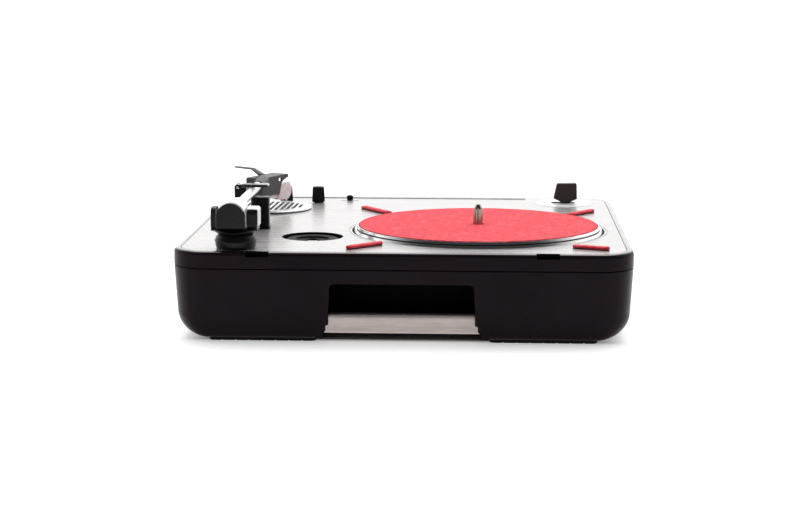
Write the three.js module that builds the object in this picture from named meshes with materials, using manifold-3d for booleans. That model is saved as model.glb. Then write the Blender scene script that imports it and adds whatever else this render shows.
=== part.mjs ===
// Portable suitcase record player, base half, lid taken off.
// Millimetres, +Z up, +X to the right of the carrying handle, +Y away from the handle side.
// The origin is the middle of the base at the level of the feet.
import * as THREE from 'three';
import { mergeVertices } from 'three/addons/utils/BufferGeometryUtils.js';
import Module from 'manifold-3d';

// ---- driving dimensions -------------------------------------------------------------------

const GAP = 0.35; // play between touching pieces
const CASE = { width: 310, depth: 300, corner: 25, wall: 2.6, draft: 2.0 };
const FOOT_HEIGHT = 2.4; // underside of the case above the floor
const SEAM = 49.6; // joint between the lower and the upper case
const DECK = 61.3; // top face of the deck
const DECK_THICKNESS = 2;
const RIM_WIDTH = 5; // black rim around the deck
const SIDE_EDGE_RADIUS = 17; // rounding under the left and right sides
const END_EDGE_RADIUS = 5; // rounding under the near and far sides
const CORNER_STEPS = 4; // half the number of facets on an upright corner of the case

const PLATTER = { x: 50, y: -38, radius: 88.9, bottom: 60.8, rimTop: 65.4, seatTop: 64.3 };
const MAT = { radius: 85.4, bottom: 64.6, top: 65.8 };
const WELL_RADIUS = 90.3; // opening in the deck around the platter
const SPINDLE = { radius: 3.2, top: 80 };
const BELT = { ring: 58, pulley: 5, bottom: 56.7, top: 59.5 };
const PULLEY = { x: -17, y: -66 };

const ARM = { x: -112.4, y: -131, tubeZ: 88, pivotZ: 84, tubeRadius: 3.25 };
const HOUSING_X = -113.75; // centre of the arm's rear housing
const REST = { x: -106, y: -39 }; // armrest post
const CLIP_PIN = { x: -122.4, z: 91.3, radius: 0.9 };
const HEADSHELL = { x: -119.1, y: 27.6, turn: -26, width: 14, length: 38.8, top: 89.8 };

const ADAPTOR = { x: -65.5, y: -77, well: 20.5, puck: 18.6 };
const SPEAKER = { x: -112.6, y: 68.6, radius: 33 };
const KNOBS = { volume: [-103, 109], tone: [-77.5, 107] };
const SPEED = { x: -53.5, y: 122.8, travel: 5 };
const SCRATCH = { x: 117, y: 113, radius: 22.5, leverX: 116.2, leverY: 107, pivot: 51, lean: 8 };
const PADS = {
  near_left: { outer: [-37.5, -135], inner: [-15, -112] },
  near_right: { outer: [138.6, -130], inner: [114, -120] },
  far_left: { outer: [-40, 72], inner: [-17, 38] },
  far_right: { outer: [137.5, 61.5], inner: [117, 35] },
};
const HANDLE = { half: 53.3, bottom: 6.6, top: 19.3, front: -147.6, back: -135.6 };
const POCKET_DEPTH = 32;
const FEET = { x: [-94, 94.7], length: 72, y: [-136, 136], width: 12 };
const BATTERY = { x: 74, y: 56, width: 105, length: 129, top: 41.3 };
const LID_SOCKETS = [-96.3, 96.9];

// ---- materials ----------------------------------------------------------------------------

function finish(color, roughness, metalness) {
  return new THREE.MeshStandardMaterial({ color, roughness, metalness });
}

const blackCase = finish(0x1d191b, 0.42, 0);
const blackPlastic = finish(0x131314, 0.38, 0);
const silverDeck = finish(0xdcdcdd, 0.35, 0.55);
const silverPlastic = finish(0xd9d9da, 0.32, 0.3);
const handleGrey = finish(0xa9a5a0, 0.45, 0.4);
const redFelt = finish(0xe8404a, 0.95, 0);
const rubber = finish(0x0f0f10, 0.8, 0);
const steel = finish(0xb9babc, 0.3, 1);
const chrome = finish(0xd5d6d8, 0.12, 1);
const brass = finish(0xb08a45, 0.35, 1);
const pinkPlastic = finish(0xe9c4c6, 0.3, 0);
const paperCone = finish(0x232323, 0.9, 0);
const boardGreen = finish(0x1f5a38, 0.6, 0);
const whitePlastic = finish(0xefefee, 0.3, 0);
const redPlastic = finish(0xb5232a, 0.4, 0);

// ---- solids from three.js geometry --------------------------------------------------------

const wasm = await Module();
wasm.setup();

// turns a closed geometry into a solid, with its faces pointing out
function solid(geometry) {
  const bare = geometry.clone();
  bare.deleteAttribute('normal');
  bare.deleteAttribute('uv');
  const merged = mergeVertices(bare, 1e-4);
  const position = merged.getAttribute('position').array;
  const index = merged.getIndex().array;
  const triangles = [];
  let volume = 0;
  for (let i = 0; i < index.length; i += 3) {
    const [a, b, c] = [index[i], index[i + 1], index[i + 2]];
    if (a === b || b === c || c === a) continue;
    triangles.push(a, b, c);
    const [va, vb, vc] = [a, b, c].map((v) => new THREE.Vector3().fromArray(position, 3 * v));
    volume += va.dot(vb.cross(vc));
  }
  if (volume < 0) triangles.reverse();
  const mesh = new wasm.Mesh({
    numProp: 3,
    vertProperties: Float32Array.from(position),
    triVerts: Uint32Array.from(triangles),
  });
  return new wasm.Manifold(mesh);
}

function geometryOf(body) {
  const mesh = body.getMesh();
  const geometry = new THREE.BufferGeometry();
  geometry.setAttribute('position', new THREE.BufferAttribute(mesh.vertProperties, 3));
  geometry.setIndex(new THREE.BufferAttribute(mesh.triVerts, 1));
  geometry.computeVertexNormals();
  return geometry;
}

// a block between two corners
function block(low, high) {
  const [w, d, h] = [0, 1, 2].map((i) => high[i] - low[i]);
  const geometry = new THREE.BoxGeometry(w, d, h);
  geometry.translate(low[0] + w / 2, low[1] + d / 2, low[2] + h / 2);
  return solid(geometry);
}

// an upright round bar
function rod(x, y, bottom, top, radius, sides = 24, topRadius = radius) {
  const geometry = new THREE.CylinderGeometry(topRadius, radius, top - bottom, sides);
  geometry.rotateX(Math.PI / 2);
  geometry.translate(x, y, (bottom + top) / 2);
  return solid(geometry);
}

// a round bar lying along X or Y
function lyingRod(along, from, to, across, z, radius, sides = 20) {
  const geometry = new THREE.CylinderGeometry(radius, radius, to - from, sides);
  if (along === 'x') {
    geometry.rotateZ(Math.PI / 2);
    geometry.translate((from + to) / 2, across, z);
  } else {
    geometry.translate(across, (from + to) / 2, z);
  }
  return solid(geometry);
}

// a turned piece about an upright axis: profile of [radius, height] points
function turned(x, y, profile, sides = 32) {
  const points = profile.map(([r, z]) => new THREE.Vector2(r, z));
  const geometry = new THREE.LatheGeometry(points, sides);
  geometry.rotateX(Math.PI / 2);
  geometry.translate(x, y, 0);
  return solid(geometry);
}

function outline(points) {
  return new THREE.Shape(points.map(([a, b]) => new THREE.Vector2(a, b)));
}

function roundedRect(halfWidth, halfDepth, radius, x = 0, y = 0) {
  const shape = new THREE.Shape();
  const [w, d] = [halfWidth - radius, halfDepth - radius];
  const quarter = Math.PI / 2;
  shape.absarc(x + w, y - d, radius, -quarter, 0);
  shape.absarc(x + w, y + d, radius, 0, quarter);
  shape.absarc(x - w, y + d, radius, quarter, 2 * quarter);
  shape.absarc(x - w, y - d, radius, 2 * quarter, 3 * quarter);
  return shape;
}

// a plan outline raised from one height to another
function raised(shape, bottom, top, curveSegments = 4) {
  const options = { depth: top - bottom, bevelEnabled: false, curveSegments };
  const geometry = new THREE.ExtrudeGeometry(shape, options);
  geometry.translate(0, 0, bottom);
  return solid(geometry);
}

// an outline in X and Z carried along Y
function carriedAlongY(shape, from, to, curveSegments = 4) {
  const options = { depth: to - from, bevelEnabled: false, curveSegments };
  const geometry = new THREE.ExtrudeGeometry(shape, options);
  geometry.rotateX(Math.PI / 2);
  geometry.translate(0, to, 0);
  return solid(geometry);
}

// an outline in Y and Z carried along X
function carriedAlongX(shape, from, to, curveSegments = 4) {
  const options = { depth: to - from, bevelEnabled: false, curveSegments };
  const geometry = new THREE.ExtrudeGeometry(shape, options);
  geometry.rotateX(Math.PI / 2);
  geometry.rotateZ(Math.PI / 2);
  geometry.translate(from, 0, 0);
  return solid(geometry);
}

function join(...bodies) {
  return bodies.reduce((sum, body) => sum.add(body));
}

function cut(body, ...tools) {
  return tools.reduce((rest, tool) => rest.subtract(tool), body);
}

// ---- the assembly -------------------------------------------------------------------------

const recordPlayer = new THREE.Group();
recordPlayer.name = 'record_player';

function place(name, body, material, parent = recordPlayer) {
  const mesh = new THREE.Mesh(geometryOf(body), material);
  mesh.name = name;
  parent.add(mesh);
}

// ---- case ---------------------------------------------------------------------------------

// front outline with drafted sides and rounded lower edges; inset shrinks it evenly
function sideToSideOutline(half, draft, radius, bottom, top, inset) {
  const [h, r, z] = [half - inset, Math.max(radius - inset, 0.5), bottom + inset];
  const low = h - draft;
  const shape = new THREE.Shape();
  shape.moveTo(h, top);
  shape.lineTo(-h, top);
  shape.lineTo(-low, z + r);
  shape.absarc(-low + r, z + r, r, Math.PI, 1.5 * Math.PI);
  shape.absarc(low - r, z + r, r, 1.5 * Math.PI, 2 * Math.PI);
  return shape;
}

// the outer form of the lower case, or its hollow when inset
function tub(inset, top) {
  const { width, depth, corner, draft } = CASE;
  const across = sideToSideOutline(width / 2, draft, SIDE_EDGE_RADIUS, FOOT_HEIGHT, top, inset);
  const along = sideToSideOutline(depth / 2, draft, END_EDGE_RADIUS, FOOT_HEIGHT, top, inset);
  const plan = roundedRect(width / 2 - inset, depth / 2 - inset, corner - inset);
  const sideForm = carriedAlongY(across, -depth, depth, 3);
  const endForm = carriedAlongX(along, -width, width, 1);
  return raised(plan, 0, top, CORNER_STEPS).intersect(sideForm).intersect(endForm);
}

// opening for the carrying hand, widening towards the underside
function pocketOutline(grow, bottom) {
  const [neck, foot, mouth] = [48.3 + grow, 49.2 + grow, 55.6 + grow];
  const roof = 40.2 + grow;
  const r = 5 + grow;
  const shape = new THREE.Shape();
  shape.moveTo(-mouth, bottom);
  shape.lineTo(mouth, bottom);
  shape.lineTo(51.2 + grow, 8.5);
  shape.lineTo(51.2 + grow, 12 + grow);
  shape.lineTo(foot, 12.6 + grow);
  shape.lineTo(foot, 19);
  shape.lineTo(neck, roof - r);
  shape.absarc(neck - r, roof - r, r, 0, Math.PI / 2);
  shape.absarc(-neck + r, roof - r, r, Math.PI / 2, Math.PI);
  shape.lineTo(-foot, 19);
  shape.lineTo(-foot, 12.6 + grow);
  shape.lineTo(-51.2 - grow, 12 + grow);
  shape.lineTo(-51.2 - grow, 8.5);
  return shape;
}

// section of the handle, rounder along its rear edges
function handleSection(front, back, bottom, top, r) {
  const shape = new THREE.Shape();
  shape.absarc(back - r, top - r, r, 0, Math.PI / 2);
  shape.absarc(front + 1.5, top - 1.5, 1.5, Math.PI / 2, Math.PI);
  shape.absarc(front + 1.5, bottom + 1.5, 1.5, Math.PI, 1.5 * Math.PI);
  shape.absarc(back - r, bottom + r, r, 1.5 * Math.PI, 2 * Math.PI);
  return shape;
}

// the hidden ends of the handle, which sit in the sides of the hand opening
function handleTenon(grow) {
  const { half, bottom, top, back } = HANDLE;
  return block([-half - grow, -145 - grow, bottom + 2 - grow],
    [half + grow, back - 2.5 + grow, top - 2 + grow]);
}

function handleGrip() {
  const { half, bottom, top, front, back } = HANDLE;
  const bar = carriedAlongX(handleSection(front, back, bottom, top, 4), -half - 5, half + 5, 2);
  const between = carriedAlongY(pocketOutline(-GAP, -10), front - 5, back + 5);
  place('handle_grip', bar.intersect(between).add(handleTenon(0)), handleGrey);
}

const FLOOR = FOOT_HEIGHT + CASE.wall; // inside floor level of the lower case
const BOSSES = [[-138, -133], [138, -133], [-138, 133], [138, 133]];
const BOARD = { x: [-132, -32], y: [-70, 22], bottom: 12, top: 13.6 };
const JACKS = { y: [-38, 38], z: [16, 42] };
const WALL_X = -CASE.width / 2;

function footprint(x, y, grow) {
  return roundedRect(FEET.length / 2 + grow, FEET.width / 2 + grow, 4 + grow, x, y);
}

function lowerCase() {
  const front = -CASE.depth / 2;
  let body = cut(tub(0, SEAM), tub(CASE.wall, SEAM + 5));
  const pocketWall = carriedAlongY(pocketOutline(CASE.wall, -10), front, front + POCKET_DEPTH + 2.6);
  body = body.add(pocketWall.intersect(tub(0, SEAM)));
  for (const [x, y] of BOSSES) {
    body = body.add(rod(x, y, FOOT_HEIGHT + 1, SEAM - 4, 4, 12));
  }
  for (const x of BOARD.x) {
    for (const y of BOARD.y) {
      const inward = x < -80 ? 5 : -5;
      const back = y < 0 ? 5 : -5;
      body = body.add(rod(x + inward, y + back, FLOOR - 1, BOARD.bottom - GAP, 3, 12));
    }
  }
  const tools = [
    carriedAlongY(pocketOutline(0, -10), front - 5, front + POCKET_DEPTH),
    handleTenon(GAP),
    batteryOpening(GAP),
    block([WALL_X - 5, JACKS.y[0], JACKS.z[0]], [WALL_X + 8, JACKS.y[1], JACKS.z[1]]),
  ];
  for (const x of FEET.x) {
    for (const y of FEET.y) {
      tools.push(raised(footprint(x, y, GAP), 0, FOOT_HEIGHT + 0.8, 2));
    }
  }
  for (const [x, y] of BOSSES) {
    tools.push(rod(x, y, 0, SEAM, 1.9, 8), rod(x, y, 0, FOOT_HEIGHT + 3, 3.3, 12));
  }
  place('lower_case', cut(body, ...tools), blackCase);
}

function upperCase() {
  const { width, depth, corner, wall } = CASE;
  const bottom = SEAM + GAP;
  const edge = 3;
  const plan = roundedRect(width / 2 - edge, depth / 2 - edge, corner - edge);
  const shell = new THREE.ExtrudeGeometry(plan, {
    depth: DECK - bottom,
    bevelThickness: edge,
    bevelSize: edge,
    bevelSegments: 2,
    curveSegments: CORNER_STEPS,
  });
  shell.translate(0, 0, bottom - edge);
  const above = block([-width, -depth, bottom], [width, depth, DECK + 10]);
  let body = solid(shell).intersect(above);
  // the ring keeps a ledge under the deck plate and a lip inside the lower case
  const lip = wall + GAP + 0.5;
  const lipPlan = roundedRect(width / 2 - lip, depth / 2 - lip, corner - lip);
  body = body.add(raised(lipPlan, SEAM - 4, bottom + 1, CORNER_STEPS));
  const ledge = DECK - DECK_THICKNESS - GAP;
  const plateSeat = roundedRect(
    width / 2 - RIM_WIDTH + GAP, depth / 2 - RIM_WIDTH + GAP, corner - RIM_WIDTH + GAP);
  const hollow = roundedRect(width / 2 - lip - 2.2, depth / 2 - lip - 2.2, corner - lip - 2.2);
  const throat = roundedRect(width / 2 - RIM_WIDTH - 3, depth / 2 - RIM_WIDTH - 3, corner - 8);
  body = cut(
    body,
    raised(plateSeat, ledge, DECK + 5, CORNER_STEPS),
    raised(hollow, SEAM - 10, ledge - 2, CORNER_STEPS),
    raised(throat, SEAM - 10, DECK, CORNER_STEPS),
  );
  for (const [x, y] of BOSSES) {
    const column = rod(x, y, SEAM - 4 + GAP, ledge - 1, 4, 12);
    body = body.add(column);
    const reach = block([Math.min(x, x * 1.12), Math.min(y, y * 1.2), ledge - 4],
      [Math.max(x, x * 1.12), Math.max(y, y * 1.2), ledge - 1]);
    body = body.add(reach.intersect(tub(CASE.wall + 1, DECK)));
    body = body.subtract(rod(x, y, SEAM - 10, ledge - 2.5, 1.9, 8));
  }
  for (const x of LID_SOCKETS) {
    body = body.subtract(block([x - 7.6, -depth / 2 - 5, 57.7], [x + 7.6, -depth / 2 + 4, DECK + 5]));
  }
  place('upper_case', body, blackCase);
}

function feet() {
  const names = ['near_left', 'near_right', 'far_left', 'far_right'];
  FEET.y.forEach((y, row) => {
    FEET.x.forEach((x, column) => {
      const pad = raised(footprint(x, y, 0), 0, FOOT_HEIGHT + 0.8 - GAP, 2);
      place(`foot_${names[2 * row + column]}`, pad, rubber);
    });
  });
}

function caseScrews() {
  const names = ['near_left', 'near_right', 'far_left', 'far_right'];
  BOSSES.forEach(([x, y], i) => {
    const headBottom = FOOT_HEIGHT + 0.6;
    const headTop = FOOT_HEIGHT + 3 - GAP;
    const head = rod(x, y, headBottom, headTop, 2.8, 12);
    const screw = head.add(rod(x, y, headTop - 0.5, DECK - 6.5, 1.5, 8));
    const slot = block([x - 4, y - 0.35, 0], [x + 4, y + 0.35, headBottom + 0.9]);
    place(`case_screw_${names[i]}`, screw.subtract(slot), steel);
  });
}

// ---- battery compartment and connectors ---------------------------------------------------

function batteryOpening(grow) {
  const plan = roundedRect(
    BATTERY.width / 2 - 4 + grow, BATTERY.length / 2 - 4 + grow, 3 + grow, BATTERY.x, BATTERY.y);
  return raised(plan, 0, FLOOR + 1, 2);
}

function batteryCompartment() {
  const { x, y, width, length, top } = BATTERY;
  const between = block([-200, -200, FOOT_HEIGHT], [200, 200, FLOOR]);
  const thumb = lyingRod('x', x - 12, x + 12, y - length / 2 + 10, FOOT_HEIGHT - 1.2, 2.4, 10);
  place('battery_door', batteryOpening(0).intersect(between).subtract(thumb), blackCase);
  const bottom = FLOOR + GAP;
  const outer = raised(roundedRect(width / 2, length / 2, 4, x, y), bottom, top, 2);
  const inner = raised(roundedRect(width / 2 - 2, length / 2 - 2, 2, x, y), 0, top - 2, 2);
  place('battery_box', outer.subtract(inner), blackPlastic);
}

function connectors() {
  const [y0, y1] = JACKS.y;
  const [z0, z1] = JACKS.z;
  const face = WALL_X + 3.2;
  let panel = block([face, y0 + GAP, z0 + GAP], [face + 1.6, y1 - GAP, z1 - GAP]);
  const sockets = [
    ['rca_socket_white', 24, 29, 4, whitePlastic],
    ['rca_socket_red', 8, 29, 4, redPlastic],
    ['headphone_socket', -9, 29, 4.6, blackPlastic],
    ['power_inlet', -26, 29, 5, blackPlastic],
  ];
  for (const [name, y, z, radius, material] of sockets) {
    panel = panel.subtract(lyingRod('x', face - 3, face + 5, y, z, radius + GAP, 14));
    const bore = radius * 0.5;
    let body = lyingRod('x', face - 1.8, face + 12, y, z, radius, 14);
    body = body.subtract(lyingRod('x', face - 5, face + 8, y, z, bore, 10));
    if (name === 'power_inlet') {
      body = body.add(lyingRod('x', face - 0.6, face + 9, y, z, 0.8, 10));
    }
    place(name, body, material);
  }
  place('jack_panel', panel, blackPlastic);
}

// ---- deck ---------------------------------------------------------------------------------

function padOutline(pad, grow) {
  const [outer, inner] = [pad.outer, pad.inner].map(([x, y]) => new THREE.Vector2(x, y));
  const along = inner.clone().sub(outer).normalize();
  const angle = along.angle();
  const r = 2.9 + grow;
  const a = outer.clone().addScaledVector(along, 2.9);
  const b = inner.clone().addScaledVector(along, -2.9);
  const shape = new THREE.Shape();
  shape.absarc(b.x, b.y, r, angle - Math.PI / 2, angle + Math.PI / 2);
  shape.absarc(a.x, a.y, r, angle + Math.PI / 2, angle + 1.5 * Math.PI);
  return shape;
}

function deckPlate() {
  const { width, depth, corner } = CASE;
  const plan = roundedRect(width / 2 - RIM_WIDTH, depth / 2 - RIM_WIDTH, corner - RIM_WIDTH);
  const bottom = DECK - DECK_THICKNESS;
  let plate = raised(plan, bottom, DECK, CORNER_STEPS);
  const [below, above] = [bottom - 5, DECK + 5];
  const groove = rod(PLATTER.x, PLATTER.y, DECK - 0.5, above, 92.4, 48)
    .subtract(rod(PLATTER.x, PLATTER.y, below, above, 91.8, 48));
  const ledge = new THREE.Shape();
  ledge.moveTo(-105, 200);
  ledge.lineTo(-105, 129);
  ledge.absarc(-99, 124, 6, Math.PI, 1.5 * Math.PI);
  ledge.lineTo(80, 118);
  ledge.absarc(80, 125, 7, -Math.PI / 2, 0);
  ledge.lineTo(87, 200);
  const strip = raised(ledge, DECK - 0.5, above, 2)
    .intersect(raised(roundedRect(width / 2 - 9, depth / 2 - 9, corner - 9), 0, above));
  const slot = roundedRect(SPEED.travel + 2.2, 1.3, 1.2, SPEED.x, SPEED.y);
  plate = cut(
    plate,
    rod(PLATTER.x, PLATTER.y, below, above, WELL_RADIUS, 48),
    groove,
    rod(ADAPTOR.x, ADAPTOR.y, below, above, ADAPTOR.well + 1.2 + GAP, 24),
    rod(ARM.x, ARM.y, below, above, 8.7, 14),
    rod(REST.x, REST.y, below, above, 3.4, 14),
    rod(SPEAKER.x, SPEAKER.y, below, above, SPEAKER.radius - 2.7, 24),
    rod(SCRATCH.x, SCRATCH.y, below, above, SCRATCH.radius - 1.7, 20),
    raised(slot, below, above, 2),
    ...Object.values(KNOBS).map(([x, y]) => rod(x, y, below, above, 3.6, 14)),
    strip,
  );
  // small lug that reaches over the near edge of the adaptor's well
  plate = plate.add(block([-67, ADAPTOR.y - 23, DECK - 0.6], [-60.4, ADAPTOR.y - 19, DECK]));
  place('deck_plate', plate, silverDeck);
}

function recordPads() {
  for (const [name, pad] of Object.entries(PADS)) {
    const strip = raised(padOutline(pad, 0), DECK + GAP, DECK + 2.7, 3);
    place(`record_pad_${name}`, strip, redFelt);
  }
}

function adaptorWell() {
  const { x, y, well, puck } = ADAPTOR;
  const floor = 54.5;
  const cup = turned(x, y, [
    [0, floor - 1.2], [well + 1.2, floor - 1.2], [well + 1.2, DECK - 0.1],
    [well, DECK - 0.1], [well, floor], [0, floor],
  ], 24);
  const relief = block([-67.4, y - 30, DECK - 0.95], [-60, y - 10, DECK + 1]);
  place('adaptor_well', cup.subtract(relief), blackPlastic);
  const top = DECK - 1.2;
  const body = turned(x, y, [
    [3.7, floor + GAP], [puck, floor + GAP], [puck, top - 1], [puck - 1, top],
    [12, top], [11, top - 1.4], [5.4, top - 1.4], [4.6, top - 0.6], [3.7, top - 0.6],
    [3.7, floor + GAP],
  ], 24);
  place('adaptor_45', body, blackPlastic);
}

// ---- speaker ------------------------------------------------------------------------------

function speaker() {
  const { x, y, radius } = SPEAKER;
  const skirt = radius - 3 - GAP;
  const top = DECK + 2.2;
  let grille = turned(x, y, [
    [0, top - 1.6], [skirt - 1.6, top - 1.6], [skirt - 1.6, DECK - 2], [skirt, DECK - 2],
    [skirt, DECK + GAP], [radius, DECK + GAP], [radius, top - 0.8], [radius - 1, top], [0, top],
  ], 30);
  const lean = 0.04; // the slots slant a little across the disc
  for (let i = -7; i <= 7; i += 1) {
    const centre = i * 4.1;
    const half = Math.sqrt(Math.max((radius - 6) ** 2 - centre ** 2, 0)) * 0.94;
    if (half < 4) continue;
    const slot = outline([
      [x + centre - 1 - half * lean, y - half], [x + centre + 1 - half * lean, y - half],
      [x + centre + 1 + half * lean, y + half], [x + centre - 1 + half * lean, y + half],
    ]);
    const disc = rod(x, y, DECK, DECK + 5, radius - 4.5, 24);
    grille = grille.subtract(raised(slot, DECK, DECK + 5).intersect(disc));
  }
  place('speaker_grille', grille, silverPlastic);
  const rim = DECK - DECK_THICKNESS - GAP;
  const frame = turned(x, y, [
    [14, 36], [18, 36], [29.5, rim - 3], [32.8, rim - 3], [32.8, rim - 0.8], [29, rim - 0.8],
    [27.6, rim - 2.6], [16, 38], [14, 38], [14, 36],
  ], 20);
  place('speaker_frame', frame, steel);
  const cone = turned(x, y, [
    [0, 43.5], [9, 39.2], [11, 39.2], [25.9, rim - 2.4], [28.7, rim - 0.4], [32, rim - 0.4],
    [32, rim], [28.2, rim], [25.3, rim - 1.6], [10.6, 40], [9.2, 40], [0, 44.2],
  ], 20);
  place('speaker_cone', cone, paperCone);
  const magnet = turned(x, y, [
    [0, 22], [19, 22], [20, 23], [20, 35.6], [8, 35.6], [8, 38.6], [0, 38.6],
  ], 20);
  place('speaker_magnet', magnet, steel);
}

// ---- electronics --------------------------------------------------------------------------

function electronics() {
  const [x0, x1] = BOARD.x;
  const [y0, y1] = BOARD.y;
  const { bottom, top } = BOARD;
  let board = block([x0, y0, bottom], [x1, y1, top]);
  for (const [x, y, radius, height] of [[-50, 0, 6, 16], [-66, 4, 5, 12], [-112, -50, 4, 10]]) {
    board = board.add(rod(x, y, top - 0.5, top + height, radius, 10));
  }
  for (const [x, y, w, d, height] of [[-92, -24, 26, 10, 4], [-52, -46, 14, 22, 12]]) {
    board = board.add(block([x - w / 2, y - d / 2, top - 0.5], [x + w / 2, y + d / 2, top + height]));
  }
  place('amplifier_board', board, boardGreen);
  const potBottom = 44;
  const under = DECK - DECK_THICKNESS - GAP;
  let control = block([-114, 96, potBottom], [-40, 132, potBottom + 1.6]);
  for (const [x, y] of Object.values(KNOBS)) {
    const pot = rod(x, y, potBottom, under - 3, 7.6, 14);
    const shaft = rod(x, y, potBottom, DECK + 7, 3, 12);
    control = join(control, pot, shaft);
  }
  const [sx, sy] = [SPEED.x, SPEED.y];
  control = control.add(block([sx - 9, sy - 4, potBottom], [sx + 9, sy + 4, under - 4]));
  place('control_board', control.subtract(rod(SPEAKER.x, SPEAKER.y, 0, 100, 33.6, 24)), boardGreen);
}

// ---- platter and drive --------------------------------------------------------------------

function platterTray() {
  const { x, y } = PLATTER;
  const top = DECK - DECK_THICKNESS - GAP;
  let tray = turned(x, y, [
    [0, 51], [91.5, 51], [91.5, top - 2], [94, top - 2], [94, top], [90, top], [90, 53], [0, 53],
  ], 36);
  tray = tray.add(rod(x, y, 44, 51.5, 9, 14));
  tray = cut(tray, rod(x, y, 40, 60, SPINDLE.radius + GAP, 16), rod(PULLEY.x, PULLEY.y, 40, 60, 7, 14));
  place('platter_tray', tray, blackPlastic);
}

function drive() {
  const { x, y } = PLATTER;
  const spindle = turned(x, y, [
    [0, 45], [SPINDLE.radius, 45], [SPINDLE.radius, 67.2], [3.9, 67.2], [3.9, 68.6],
    [SPINDLE.radius, 69.2], [SPINDLE.radius, 77], [1.4, SPINDLE.top], [0, SPINDLE.top],
  ], 16);
  place('spindle', spindle, chrome);
  const motor = turned(PULLEY.x, PULLEY.y, [
    [0, 26], [4, 26], [4, 24], [15, 24], [16, 25], [16, 48], [15, 49], [5, 49], [5, 50.4],
    [0, 50.4],
  ], 16);
  const shaftHole = rod(PULLEY.x, PULLEY.y, 40, 60, 1.4, 12);
  place('motor', motor.subtract(shaftHole), steel);
  const groove = BELT.pulley - GAP;
  const pulley = turned(PULLEY.x, PULLEY.y, [
    [0, 42], [1, 42], [1, 54], [groove + 1, 54], [groove + 1, BELT.bottom - 0.6],
    [groove, BELT.bottom - 0.3], [groove, BELT.top + 0.3], [groove + 1, BELT.top + 0.5],
    [groove + 1, BELT.top + 0.8], [0, BELT.top + 0.8],
  ], 16);
  place('motor_pulley', pulley, brass);
  place('drive_belt', belt(), rubber);
}

// flat belt round the platter's inner ring and the motor pulley
function beltOutline(grow) {
  const reach = new THREE.Vector2(PULLEY.x - PLATTER.x, PULLEY.y - PLATTER.y);
  const [big, small] = [BELT.ring + grow, BELT.pulley + grow];
  const swing = Math.acos((big - small) / reach.length());
  const heading = reach.angle();
  const shape = new THREE.Shape();
  shape.absarc(PLATTER.x, PLATTER.y, big, heading + swing, heading - swing + 2 * Math.PI);
  shape.absarc(PULLEY.x, PULLEY.y, small, heading - swing, heading + swing);
  return shape;
}

function belt() {
  const outer = raised(beltOutline(0.9), BELT.bottom, BELT.top, 12);
  return outer.subtract(raised(beltOutline(0.1), BELT.bottom - 5, BELT.top + 5, 12));
}

function platterAndMat() {
  const { x, y, radius, bottom, rimTop, seatTop } = PLATTER;
  const ring = BELT.ring - 2 * GAP;
  const bore = 6 + GAP;
  const platter = turned(x, y, [
    [bore, 55.2], [10, 55.2], [10, bottom], [ring - 3, bottom], [ring - 3, 56], [ring, 56],
    [ring, bottom], [radius, bottom], [radius, rimTop - 0.8], [radius - 0.9, rimTop],
    [radius - 2.6, rimTop], [radius - 3.1, seatTop], [bore, seatTop], [bore, 55.2],
  ], 44);
  place('platter', platter, silverDeck);
  const bush = turned(x, y, [
    [SPINDLE.radius + GAP, 53.6], [8, 53.6], [8, 54.8], [6, 54.8], [6, seatTop],
    [SPINDLE.radius + GAP, seatTop], [SPINDLE.radius + GAP, 53.6],
  ], 16);
  place('platter_bush', bush, brass);
  const mat = turned(x, y, [
    [4.3, MAT.bottom], [MAT.radius, MAT.bottom], [MAT.radius, MAT.top], [4.3, MAT.top],
    [4.3, MAT.bottom],
  ], 44);
  place('slipmat', mat, redFelt);
}

// ---- tonearm ------------------------------------------------------------------------------

function tonearmBase() {
  const base = turned(ARM.x, ARM.y, [
    [2.5 + GAP, 54], [8, 54], [8, DECK + GAP], [13.2, DECK + GAP], [13.8, 64], [13.95, 66.4],
    [14.5, 66.6], [14.5, 67], [13.9, 67.2], [13.4, 69], [12.1, 70.6], [11.2, 71],
    [2.5 + GAP, 71], [2.5 + GAP, 54],
  ], 20);
  place('tonearm_base', base, blackPlastic);
  place('swing_shaft', rod(ARM.x, ARM.y, 53, 74.6, 2.5, 12), steel);
}

const CHEEKS = { left: [-128.3, -125], right: [-103.9, -97.3], y: [-138, -122] };
const CHEEK_TOP = { left: 89, right: 87.6 };

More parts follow.
